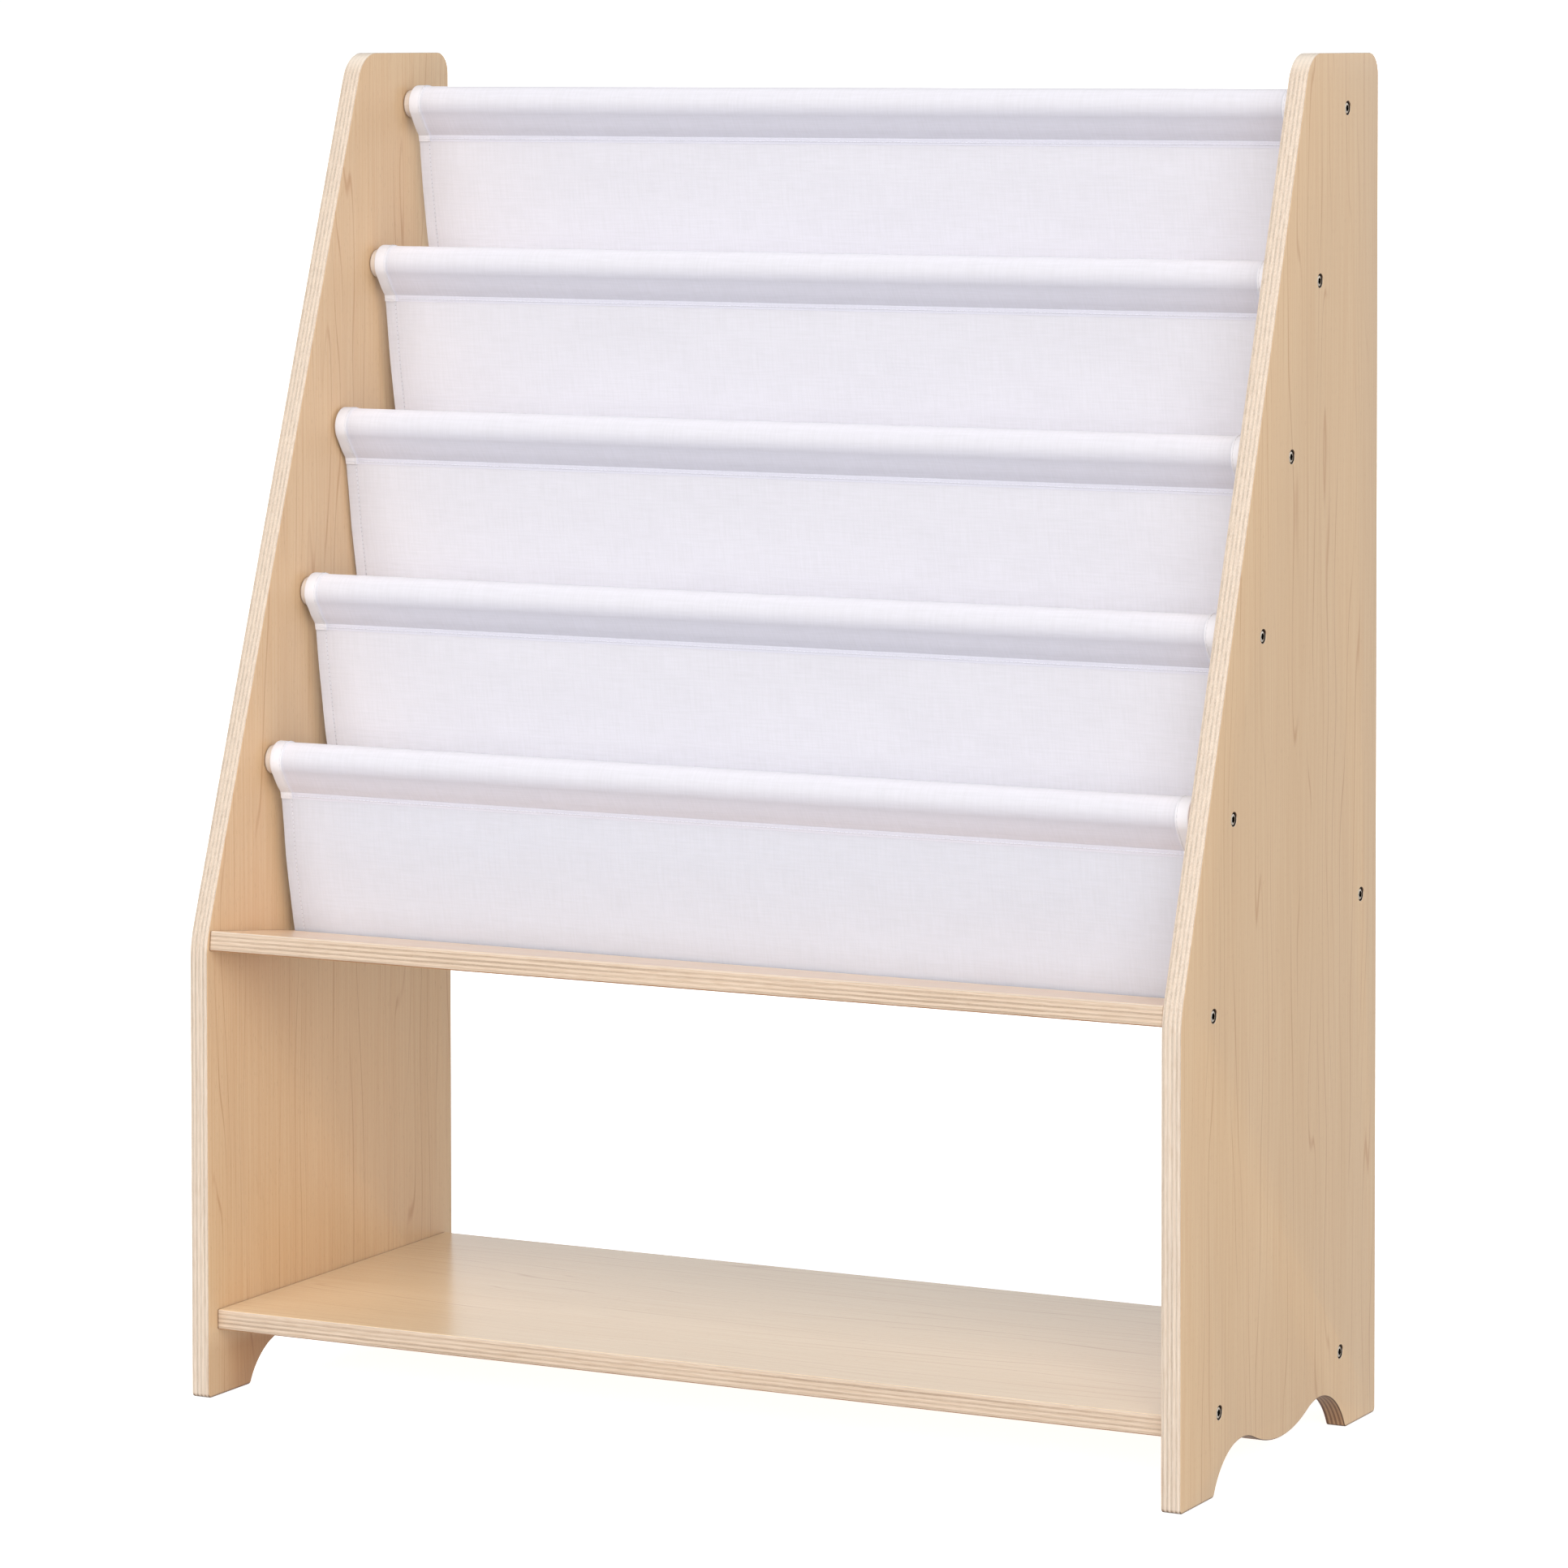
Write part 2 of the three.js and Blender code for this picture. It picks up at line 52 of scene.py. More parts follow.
camera_data = bpy.data.cameras.new("camera")
camera_data.sensor_width = 36.0
camera_data.lens = 139.884
camera_data.shift_y = -0.32333
camera = placed("camera", camera_data)
camera.location = (2.0947, -4.0387, 1.0275)
camera.rotation_euler = Euler([math.radians(a) for a in (90 - 2.2486, 0.065, 27.3619)])
bpy.context.scene.camera = camera


# Room: a backlit white floor that runs far out, a bright white surround at eye level
# under a dimmer ceiling, and one very large soft lamp in front, a little to the right.
def hex_colour(code):
    """A colour written as sRGB hex, as the linear values that a shader takes."""
    parts = [int(code[i:i + 2], 16) / 255 for i in (1, 3, 5)]
    return [p / 12.92 if p <= 0.04045 else ((p + 0.055) / 1.055) ** 2.4 for p in parts] + [1.0]


def feed(tree, node, inputs):
    """Sets a node's inputs, by name or number: each is a value or another node's output."""
    for key, value in inputs.items():
        if isinstance(value, bpy.types.NodeSocket):
            tree.links.new(value, node.inputs[key])
        else:
            node.inputs[key].default_value = value


def add(tree, kind, inputs=(), output=0, **settings):
    """Adds one node, its inputs in their order or keyed, and gives the output asked for."""
    made = tree.nodes.new(kind)
    for key, value in settings.items():
        setattr(made, key, value)
    feed(tree, made, inputs if isinstance(inputs, dict) else dict(enumerate(inputs)))
    return made if output is None else made.outputs[output]


def new_material(name):
    """An empty material with its Principled shader already wired to the output."""
    material = bpy.data.materials.new(name)
    material.use_nodes = True
    tree = material.node_tree
    tree.nodes.clear()
    shader = add(tree, "ShaderNodeBsdfPrincipled", output=None)
    add(tree, "ShaderNodeOutputMaterial", {"Surface": shader.outputs[0]}, None)
    return material, tree, shader


def make_piece(name, mesh, material, smooth_angle=None):
    """An object at the origin for a finished mesh, smooth across edges under the angle."""
    mesh.name = name
    mesh.materials.clear()
    mesh.materials.append(material)
    mesh.polygons.foreach_set("use_smooth", [smooth_angle is not None] * len(mesh.polygons))
    if smooth_angle is not None:
        mesh.set_sharp_from_angle(angle=math.radians(smooth_angle))
    return placed(name, mesh)


# White acrylic lit from below: matt, and as bright as the surround behind it.
floor_acrylic, tree, shader = new_material("backlit_white_acrylic")
feed(tree, shader, {
    "Base Color": hex_colour("#fafafa"), "Roughness": 0.9, "Specular IOR Level": 0.1,
    "Emission Color": (1.0, 1.0, 1.0, 1.0), "Emission Strength": 0.8})
floor_reach, floor_level, rim_points = 400.0, -0.0005, 64
rim = [(floor_reach * math.cos(a), floor_reach * math.sin(a), floor_level)
       for a in [2 * math.pi * i / rim_points for i in range(rim_points)]]
floor_mesh = bpy.data.meshes.new("floor")
floor_mesh.from_pydata(rim, [], [list(range(rim_points))])
floor = make_piece("floor", floor_mesh, floor_acrylic)
# The floor is only seen: what lights the undersides and shines in the lacquer is the
# dimmer lower half of the surround, so that they aren't washed out.
floor.visible_diffuse = False
floor.visible_glossy = False
floor.visible_shadow = False

soft = {"interpolation_type": "SMOOTHSTEP"}
eye_level_light, ceiling_light, low_light = 1.03, 0.23, 0.62
horizon, bright_up_to, dim_above = -0.004, 0.14, 0.46
surround = bpy.data.worlds.new("white_studio")
surround.use_nodes = True
tree = surround.node_tree
height = add(tree, "ShaderNodeSeparateXYZ", [
    add(tree, "ShaderNodeTexCoord", output="Generated")], "Z")
upper_half = add(tree, "ShaderNodeMapRange", [
    height, bright_up_to, dim_above, eye_level_light, ceiling_light], **soft)
is_upper = add(tree, "ShaderNodeMath", [height, horizon], operation="GREATER_THAN")
light = add(tree, "ShaderNodeMix", {0: is_upper, 2: low_light, 3: upper_half}, data_type="FLOAT")
feed(tree, tree.nodes["Background"], {"Color": (1.0, 1.0, 1.0, 1.0), "Strength": light})
bpy.context.scene.world = surround
bpy.context.scene.view_settings.view_transform = "Standard"

lamp_data = bpy.data.lights.new("front_softbox", "SUN")
lamp_data.energy = 3.2
lamp_data.angle = math.radians(75)
lamp = placed("front_softbox", lamp_data)
lamp.location = (0.8, -4.0, 2.4)
towards_lamp = Vector((0.164, -0.844, 0.512))
lamp.rotation_euler = towards_lamp.to_track_quat("Z", "Y").to_euler()


# Side panels: two plywood uprights sawn to one outline, with rounded top corners, a
# soft knee and a scalloped foot line, their edges eased with a small round and every
# bolt hole bored through and counterbored for the sunk head.
mm = 0.001
case_width, case_depth, case_height = 815.0, 362.0, 1016.0
ply_thickness, edge_round = 15.0, 0.8
knee_height, knee_radius = 345.5, 80.0
top_length, top_front_corner, top_rear_corner = 130.5, 28.0, 16.0
foot_length, foot_corner = 58.5, 3.5
arch_height, lobe_height, arch_crown_share = 32.0, 18.0, 0.585
inner_width = case_width - 2 * ply_thickness
front, rear = -case_depth / 2, case_depth / 2

rod_count = 5
low_rod, top_rod = Vector((front + 92.7, 475.5)), Vector((rear - 59.5, case_height - 40.5))
front_rods = [low_rod.lerp(top_rod, i / (rod_count - 1)) for i in range(rod_count)]
rear_rod = Vector((rear - 30.0, 392.5))
shelf_middle = 58.0
ledge_tilt = math.radians(7)


def towards(angle):
    """One millimetre in a direction of the side view, whose x is to the back and y up."""
    return Vector((math.cos(angle), math.sin(angle)))


def arc(centre, radius, start, end, steps):
    """Points on a round stretch of the side view."""
    return [centre + radius * towards(start + (end - start) * i / steps)
            for i in range(steps + 1)]


def left_of(along):
    return Vector((-along.y, along.x))


def angle_of(v):
    return math.atan2(v.y, v.x)


def rounded(before, corner, after, radius, steps=16):
    """The round stretch that takes a sharp corner's place."""
    incoming, outgoing = (corner - before).normalized(), (after - corner).normalized()
    turn = math.atan2(incoming.cross(outgoing), incoming.dot(outgoing))
    start = corner - incoming * radius * math.tan(abs(turn) / 2)
    centre = start + left_of(incoming) * math.copysign(radius, turn)
    begin = angle_of(start - centre)
    return arc(centre, radius, begin, begin + turn, steps)


def foot_line(half_span):
    """Two arches with a lobe hanging between them, from the front foot to the rear one."""
    crown = half_span * arch_crown_share
    arch = ((half_span - crown) ** 2 + arch_height ** 2) / (2 * arch_height)
    arch_centre = Vector((crown, arch_height - arch))
    rise = lobe_height - arch_centre.y
    lobe = (crown ** 2 + rise ** 2 - arch ** 2) / (2 * (arch - rise))
    lobe_centre = Vector((0.0, lobe_height + lobe))
    reach = arch + foot_corner
    toe = Vector((crown + math.sqrt(reach ** 2 - (foot_corner - arch_centre.y) ** 2), foot_corner))
    landing, meeting = angle_of(toe - arch_centre), angle_of(lobe_centre - arch_centre)
    half = (arc(lobe_centre, lobe, -math.pi / 2, meeting - math.pi, 24)
            + arc(arch_centre, arch, meeting, landing, 32)[1:]
            + arc(toe, foot_corner, landing + math.pi, 1.5 * math.pi, 8)[1:])
    return [Vector((-p.x, p.y)) for p in reversed(half[1:])] + half


def panel_outline():
    knee, top_front = Vector((front, knee_height)), Vector((rear - top_length, case_height))
    top_rear = Vector((rear, case_height))
    rear_foot, front_foot = Vector((rear, 0)), Vector((front, 0))
    half_span = rear - foot_length
    return (rounded(top_front, knee, front_foot, knee_radius)
            + rounded(knee, front_foot, Vector((-half_span, 0)), foot_corner, 8)
            + foot_line(half_span)
            + rounded(Vector((half_span, 0)), rear_foot, top_rear, foot_corner, 8)
            + rounded(rear_foot, top_rear, top_front, top_rear_corner)
            + rounded(top_rear, top_front, knee, top_front_corner))


side_view = Matrix(((0, 0, 1, 0), (1, 0, 0, 0), (0, 1, 0, 0), (0, 0, 0, 1)))


def tidy(mesh, merge=0.0, dissolve=False):
    """Turns every face outwards, after points closer than merge have become one."""
    work = bmesh.new()
    work.from_mesh(mesh)
    if merge:
        bmesh.ops.remove_doubles(work, verts=work.verts, dist=merge)
    if dissolve:
        bmesh.ops.dissolve_degenerate(work, edges=work.edges, dist=merge)
    bmesh.ops.recalc_face_normals(work, faces=work.faces)
    work.to_mesh(mesh)
    work.free()


def settled(holder):
    """The plain mesh that an object's curve or modifiers come to. The object is removed."""
    graph = bpy.context.evaluated_depsgraph_get()
    mesh = bpy.data.meshes.new_from_object(holder.evaluated_get(graph))
    bpy.data.objects.remove(holder)
    return mesh


def sawn_board(outline):
    """A flat board of the ply's thickness with rounded arrises, lying in the side view."""
    curve = bpy.data.curves.new("outline", "CURVE")
    curve.dimensions, curve.fill_mode = "2D", "BOTH"
    curve.extrude = (ply_thickness / 2 - edge_round) * mm
    curve.bevel_depth, curve.bevel_resolution, curve.offset = edge_round * mm, 3, -edge_round * mm
    line = curve.splines.new("POLY")
    line.points.add(len(outline) - 1)
    line.points.foreach_set("co", [c for p in outline for c in (p.x * mm, p.y * mm, 0.0, 1.0)])
    line.use_cyclic_u = True
    mesh = settled(placed("outline", curve))
    tidy(mesh, 1e-6)
    return mesh


def turned(profile, segments=48):
    """A lathe shape round its z axis from (radius, height) points, closed at both ends."""
    n = len(profile)
    verts, faces = [], []
    for i in range(segments):
        a = 2 * math.pi * i / segments
        verts += [(r * math.cos(a) * mm, r * math.sin(a) * mm, z * mm) for r, z in profile]
        here, there = i * n, (i + 1) % segments * n
        faces += [(here + k, there + k, there + k + 1, here + k + 1) for k in range(n - 1)]
    mesh = bpy.data.meshes.new("turned")
    mesh.from_pydata(verts, [], faces)
    tidy(mesh, 1e-7, dissolve=True)
    return mesh


def joined(parts):
    """One mesh of several (mesh, matrix) pairs."""
    work = bmesh.new()
    for mesh, matrix in parts:
        copy = mesh.copy()
        copy.transform(matrix)
        work.from_mesh(copy)
    result = bpy.data.meshes.new("joined")
    work.to_mesh(result)
    work.free()
    return result


ledge_depth, ledge_inset, ledge_height = 107.690, 3.2, 339.8
ledge_front = Vector((front + ledge_inset + ply_thickness * math.sin(ledge_tilt),
                      ledge_height + ply_thickness * math.cos(ledge_tilt)))
ledge_along = Vector((math.cos(ledge_tilt), -math.sin(ledge_tilt)))
ledge_middle = (ledge_front + ledge_along * ledge_depth / 2
                - left_of(ledge_along) * ply_thickness / 2)
shelf_bolt = 112.5
bolt_places = [*front_rods, rear_rod, ledge_middle,
               Vector((-shelf_bolt, shelf_middle)), Vector((shelf_bolt, shelf_middle))]
head_radius, head_height, head_recess, hole_gap = 4.2, 6.0, 0.45, 0.85
shank_hole = 3.3
panel_middle = (inner_width + ply_thickness) / 2


def side_panel(name, side, material):
    """One upright: the sawn board moved to its side, then bored from its outer face."""
    board = sawn_board(panel_outline())
    middle = side * panel_middle
    board.transform(Matrix.Translation((middle * mm, 0, 0)) @ side_view)
    half, head_hole = ply_thickness / 2, head_radius + hole_gap
    seat = half - head_recess - head_height - 0.1
    bore = turned([(0, -half - 2), (shank_hole, -half - 2), (shank_hole, seat), (head_hole, seat),
                   (head_hole, half - 0.5), (head_hole + 2.5, half + 2), (0, half + 2)])
    facing = Matrix.Rotation(side * math.pi / 2, 4, "Y")
    cutter = placed("cutter", joined([
        (bore, Matrix.Translation((middle * mm, p.x * mm, p.y * mm)) @ facing)
        for p in bolt_places]))
    panel = make_piece(name, board, material)
    cut = panel.modifiers.new("bores", "BOOLEAN")
    cut.object, cut.operation, cut.solver = cutter, "DIFFERENCE", "EXACT"
    mesh = settled(panel)
    bpy.data.objects.remove(cutter)
    # The walls of the bolt holes are marked for the material, which paints shade on them.
    flat_places = [Vector(vertex.co.yz) / mm for vertex in mesh.vertices]
    mesh.attributes.new("bored", "FLOAT", "FACE").data.foreach_set("value", [
        float(any(all((flat_places[i] - p).length < head_hole + 0.1 for i in face.vertices)
                  for p in bolt_places)) for face in mesh.polygons])
    panel = make_piece(name, mesh, material, 32)
    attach(panel, "root")
    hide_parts("side_panel_" + name.split("_")[0])


ply_count, ring_pitch = 9, 13.0
coloured = {"data_type": "RGBA"}


def plywood(name, middle, turn, tones, lacquer, is_upright, seed):
    """Birch plywood, nine plies faced with rotary-cut maple veneer, clear lacquered.

    The pattern is solid: through the thickness come the veneer, the plies and their glue
    lines, so an edge shows stripes and a face shows grain. middle and turn place the board:
    across the face is x, along the grain y and through the plies z, in millimetres. tones
    are the darker and paler colours of the veneer, of the long plies and of the crossed
    ones, and lacquer is how much of a glossy coat the board carries.
    """
    material, tree, shader = new_material(name)
    object_place = add(tree, "ShaderNodeTexCoord", output="Object")
    place = add(tree, "ShaderNodeMapping", {
        "Vector": object_place, "Location": [c * mm for c in middle], "Rotation": turn.to_euler(),
        "Scale": (mm, mm, mm)}, vector_type="TEXTURE")
    parts = add(tree, "ShaderNodeSeparateXYZ", [place], None).outputs
    facing_up = add(tree, "ShaderNodeSeparateXYZ", [
        add(tree, "ShaderNodeNewGeometry", output="Normal")], "Z")

    def streaks(width, length, detail=3.0, offset=0.0, rough=0.55):
        """Noise drawn out along the grain: its grains are width by length millimetres."""
        stretched = add(tree, "ShaderNodeMapping", {
            "Vector": place, "Location": (seed * 7.3 + offset, seed * 3.1, seed * 1.7),
            "Scale": (1 / width, 1 / length, 1 / width)})
        return add(tree, "ShaderNodeTexNoise", {
            "Vector": stretched, "Scale": 1.0, "Detail": detail, "Roughness": rough}, "Fac")

    def tints_and_painted_light(colour, layers, mode="MULTIPLY"):
        """The colour under some layers, both real tints and painted light and shade: where each
        lies, how strongly, and its tone.
        """
        for where, strength, tone in layers:
            share = add(tree, "ShaderNodeMath", [where, strength], operation="MULTIPLY")
            colour = add(tree, "ShaderNodeMix", {
                0: share, 6: colour, 7: hex_colour(tone)}, 2, blend_type=mode, **coloured)
        return colour

    # The face: pale tan wood in broad soft bands, with fine fibre lines, long thin
    # growth lines that come and go, and short dark pores.
    veneer, long_plies, crossed_plies = ([hex_colour(tone) for tone in pair] for pair in tones)
    broad, fibres, come_and_go, pores, long_tone, dashes, uneven = (
        add(tree, "ShaderNodeMapRange", [streaks(*grain), *contrast], **soft)
        for grain, contrast in (
            ((60, 1500, 1.0), (0.30, 0.70)), ((1.1, 130, 2.0, 11.0), (0.32, 0.70)),
            ((20, 380, 2.0, 41.0), (0.40, 0.58)), ((0.55, 6.5, 1.0, 57.0, 0.4), (0.655, 0.74)),
            ((2.2, 70, 2.0, 91.0), (0.3, 0.7)), ((0.45, 14, 1.0, 97.0), (0.42, 0.62)),
            ((2.6, 200, 1.0, 109.0), (0.35, 0.65, 0.45, 1.0))))
    across_rings = add(tree, "ShaderNodeMath", [parts["X"], ring_pitch], operation="DIVIDE")
    rings = add(tree, "ShaderNodeMath", [
        streaks(60, 620, 2.0, 23.0), 8.0, across_rings], operation="MULTIPLY_ADD")
    to_ring = add(tree, "ShaderNodeMath", [rings, 0.5], operation="PINGPONG")
    at_ring = add(tree, "ShaderNodeMapRange", [to_ring, 0.0, 0.075, 1.0, 0.0], **soft)
    ring_line = add(tree, "ShaderNodeMath", [at_ring, come_and_go], operation="MULTIPLY")
    face = add(tree, "ShaderNodeMix", {0: broad, 6: veneer[0], 7: veneer[1]}, 2, **coloured)
    face = tints_and_painted_light(face, [
        (fibres, 0.55, "#f4e7da"), (ring_line, 0.52, "#d6b59a"), (pores, 0.26, "#c6ac91")])

    # The edge: nine plies, every second one turned across and so showing end grain,
    # with a thin darker glue line at each joint that wavers as peeled veneer does. An
    # edge that looks up is painted paler: painted light from above.
    waver = add(tree, "ShaderNodeMath", [
        streaks(16, 60, 1.0, 71.0), 0.7, parts["Z"]], operation="MULTIPLY_ADD")
    from_face = add(tree, "ShaderNodeMath", [waver, ply_thickness / 2 - 0.35], operation="ADD")
    level = add(tree, "ShaderNodeMath", [from_face, ply_thickness / ply_count], operation="DIVIDE")
    every_second = add(tree, "ShaderNodeMath", [level, 1.0], operation="PINGPONG")
    crossed = add(tree, "ShaderNodeMapRange", [every_second, 0.40, 0.60], **soft)
    half_level = add(tree, "ShaderNodeMath", [level, 0.5], operation="ADD")
    to_joint = add(tree, "ShaderNodeMath", [half_level, 0.5], operation="PINGPONG")
    glue = add(tree, "ShaderNodeMapRange", [to_joint, 0.40, 0.5], **soft)
    speckle = streaks(0.5, 2.2, 2.0, 83.0)
    end_tone = add(tree, "ShaderNodeMapRange", [speckle, 0.35, 0.65], **soft)
    # Painted light: an edge that looks up is drawn paler.
    looks_up_painted_light = add(tree, "ShaderNodeMapRange", [facing_up, 0.40, 0.95], **soft)
    long_ply, end_ply = (
        add(tree, "ShaderNodeMix", {0: tone, 6: darker, 7: paler}, 2, **coloured)
        for tone, (darker, paler) in ((long_tone, long_plies), (end_tone, crossed_plies)))
    end_share = add(tree, "ShaderNodeMath", [crossed, uneven], operation="MULTIPLY")
    edge = add(tree, "ShaderNodeMix", {0: end_share, 6: long_ply, 7: end_ply}, 2, **coloured)
    edge = tints_and_painted_light(edge, [(dashes, 0.35, "#dccbb8")])
    edge = tints_and_painted_light(edge, [(glue, 0.22, "#9b7e5f"), (looks_up_painted_light, 0.65, "#f3e8da")], "MIX")

    from_core = add(tree, "ShaderNodeMath", [parts["Z"]], operation="ABSOLUTE")
    depth_in = add(tree, "ShaderNodeMath", [ply_thickness / 2, from_core], operation="SUBTRACT")
    inside = add(tree, "ShaderNodeMapRange", [depth_in, 0.10, 0.30], **soft)
    colour = add(tree, "ShaderNodeMix", {0: inside, 6: face, 7: edge}, 2, **coloured)

    # What looks down is painted browner: painted shade on faces turned from the light.
    underneath = add(tree, "ShaderNodeMapRange", [facing_up, -0.55, -0.05, 1.0, 0.0], **soft)
    if is_upright:
        # An upright is painted darkest along its soles and the lower arris of its arches, as
        # painted shade, and its crossed plies darker there, from their end grain and painted
        # shade. The bottom shelf keeps the light off the feet's inner faces, which is painted in
        # as shade, and the bolt holes' walls are painted dark as the shade inside them.
        in_room = add(tree, "ShaderNodeSeparateXYZ", [object_place], None).outputs
        above_toe = add(tree, "ShaderNodeMapRange", [
            in_room["Y"], (front + 4) * mm, (front + 6) * mm, 0.10, 0.85], **soft)
        dark_plies = add(tree, "ShaderNodeMath", [underneath, crossed], operation="MULTIPLY")
        off_middle = add(tree, "ShaderNodeMath", [in_room["X"]], operation="ABSOLUTE")
        inner_face = add(tree, "ShaderNodeMapRange", [
            off_middle, (inner_width / 2 + 1) * mm, (inner_width / 2 + 3) * mm, 1.0, 0.0], **soft)
        under_shelf = add(tree, "ShaderNodeMapRange", [
            in_room["Z"], 30 * mm, 54 * mm, 1.0, 0.0], **soft)
        to_the_back = add(tree, "ShaderNodeMapRange", [
            in_room["Y"], -175 * mm, -125 * mm, 0.25, 1.0], **soft)
        shelf_shade = add(tree, "ShaderNodeMath", [inner_face, under_shelf], operation="MULTIPLY")
        shelf_shade = add(tree, "ShaderNodeMath", [shelf_shade, to_the_back], operation="MULTIPLY")
        # Painted shade: the soles, and the lower arris of the arches.
        sole = add(tree, "ShaderNodeMapRange", [in_room["Z"], 0.4 * mm, 1.8 * mm, 1.0, 0.0], **soft)
        outer_ply = add(tree, "ShaderNodeMapRange", [depth_in, 0.3, 1.3, 1.0, 0.0], **soft)
        arris = add(tree, "ShaderNodeMath", [underneath, outer_ply], operation="MULTIPLY")
        floor_contact_shade = add(tree, "ShaderNodeMath", [sole, arris], operation="MAXIMUM")
        # Painted shade: the bolt holes' walls, marked in side_panel, are drawn near black.
        bored = add(tree, "ShaderNodeAttribute", output="Fac",
                    attribute_name="bored", attribute_type="GEOMETRY")
        colour = tints_and_painted_light(colour, [
            (underneath, above_toe, "#be9058"), (dark_plies, 0.6, "#a5825c"),
            (shelf_shade, 0.75, "#c79f6b"), (floor_contact_shade, 0.7, "#5e4a3a")])
        colour = tints_and_painted_light(colour, [(bored, 0.95, "#241910")], "MIX")
    else:
        # A board's butted ends draw a thin dark line at the joint: painted shade in the gap.
        off_middle = add(tree, "ShaderNodeMath", [parts["Y"]], operation="ABSOLUTE")
        at_end = add(tree, "ShaderNodeMapRange", [
            off_middle, inner_width / 2 - 1.5, inner_width / 2 - 0.5], **soft)
        colour = tints_and_painted_light(colour, [(underneath, 0.85, "#be9058"), (at_end, 0.75, "#a07c5c")])

    # The lacquer fills the face smooth and satin, and sinks into the rougher edges.
    ridges = add(tree, "ShaderNodeMath", [fibres, 0.35], operation="MULTIPLY")
    relief = add(tree, "ShaderNodeMath", [pores, -0.6, ridges], operation="MULTIPLY_ADD")
    saw_marks = add(tree, "ShaderNodeMath", [speckle, 2.0], operation="MULTIPLY")
    relief = add(tree, "ShaderNodeMath", [inside, saw_marks, relief], operation="MULTIPLY_ADD")
    feed(tree, shader, {
        "Base Color": colour,
        "Roughness": add(tree, "ShaderNodeMapRange", [inside, 0.0, 1.0, 0.36, 0.52], **soft),
        "Normal": add(tree, "ShaderNodeBump", {
            "Height": relief, "Strength": 0.25, "Distance": 0.00008}),
        "Coat Weight": lacquer, "Coat Roughness": 0.22})
    return material


upright = Matrix(((0, 0, 1), (1, 0, 0), (0, 1, 0)))
panel_tones = (("#e6c49b", "#e9c8a0"), ("#ccbbaa", "#d5c4b2"), ("#b3a494", "#bcac9c"))
for name, side, seed in (("left_upright", -1, 1), ("right_upright", 1, 2)):
    side_panel(name, side, plywood(
        "maple_faced_ply_" + name, (side * panel_middle, 0, 0), upright,
        panel_tones, 0.12, True, seed))


# Boards: the bottom shelf and the narrow book ledge, cut from the same plywood with
# the grain running across the shelf. Each is drawn up against the uprights by bolts
# into barrel nuts, whose blind holes open on the underside.
def clad(node, material):
    """Gives a CAD solid its material."""
    node.data.materials.clear()
    node.data.materials.append(material)


level_board = Matrix(((0, 1, 0), (-1, 0, 0), (0, 0, 1)))
board_plies = ("#c8b29c", "#d0baa4"), ("#a48e78", "#ad9883")
clad(nodes["bottom_shelf"], plywood(
    "maple_faced_ply_shelf", (0, 0, shelf_middle), level_board,
    (("#f3d9b2", "#f7deb8"), *board_plies), 0.95, False, 3))
clad(nodes["book_ledge"], plywood(
    "maple_faced_ply_ledge", (0, ledge_middle.x, ledge_middle.y),
    Matrix.Rotation(-ledge_tilt, 3, "X") @ level_board,
    (("#edd0b1", "#f1d6b9"), *board_plies), 0.35, False, 4))


# Rods: six turned dowels, sanded and lacquered, whose ends butt against the uprights
# and carry a threaded insert each. Only a few millimetres show beside the canvas.
rod_radius = 11.0
fibre_length, fibre_width = 0.070, 0.0012

# Turned birch is pale and close-grained, with short fibres along the rod, and satin.
dowel_wood, tree, shader = new_material("turned_birch_dowel")
object_place = add(tree, "ShaderNodeTexCoord", output="Object")
along_rod = add(tree, "ShaderNodeMapping", {
    "Vector": object_place, "Scale": (1 / fibre_length, 1 / fibre_width, 1 / fibre_width)})
fibre = add(tree, "ShaderNodeTexNoise", {"Vector": along_rod, "Scale": 1.0, "Detail": 3.0}, "Fac")
fibre_colour = add(tree, "ShaderNodeMix", {
    0: fibre, 6: hex_colour("#cdbfb3"), 7: hex_colour("#dccfc4")}, 2, **coloured)
# The joint with the upright is a dark line, drawn twice as wide as it is so that it shows.
off_middle = add(tree, "ShaderNodeMath", [
    add(tree, "ShaderNodeSeparateXYZ", [object_place], "X")], operation="ABSOLUTE")
at_joint = add(tree, "ShaderNodeMapRange", [
    off_middle, (inner_width / 2 - 1.5) * mm, (inner_width / 2 - 0.9) * mm, 0.0, 0.8])
feed(tree, shader, {
    "Base Color": add(tree, "ShaderNodeMix", {
        0: at_joint, 6: fibre_colour, 7: hex_colour("#6b4a34")}, 2, **coloured),
    "Normal": add(tree, "ShaderNodeBump", {"Height": fibre, "Strength": 0.3, "Distance": 0.0001}),
    "Roughness": 0.45})

rod_half, screw_hole, insert_hole = inner_width / 2 - 0.3, 3.3, 5.3
insert_floor, tip_floor = inner_width / 2 - 18.6, inner_width / 2 - 37.0
rod_end = [(0, tip_floor), (screw_hole, tip_floor), (screw_hole, insert_floor),
           (insert_hole, insert_floor), (insert_hole, rod_half),
           (rod_radius - 0.5, rod_half), (rod_radius, rod_half - 0.5)]
rod_mesh = turned([(r, -z) for r, z in rod_end] + [(r, z) for r, z in reversed(rod_end)], 64)
across = Matrix.Rotation(math.pi / 2, 4, "Y")
rod_places = {f"front_rod_{i + 1}": p for i, p in enumerate(front_rods)}
for name, place in {**rod_places, "rear_rod": rear_rod}.items():
    mesh = rod_mesh.copy()
    mesh.transform(Matrix.Translation((0, place.x * mm, place.y * mm)) @ across)
    dowel = make_piece("dowel_" + name, mesh, dowel_wood, 30)
    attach(dowel, "root")
    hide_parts(name)


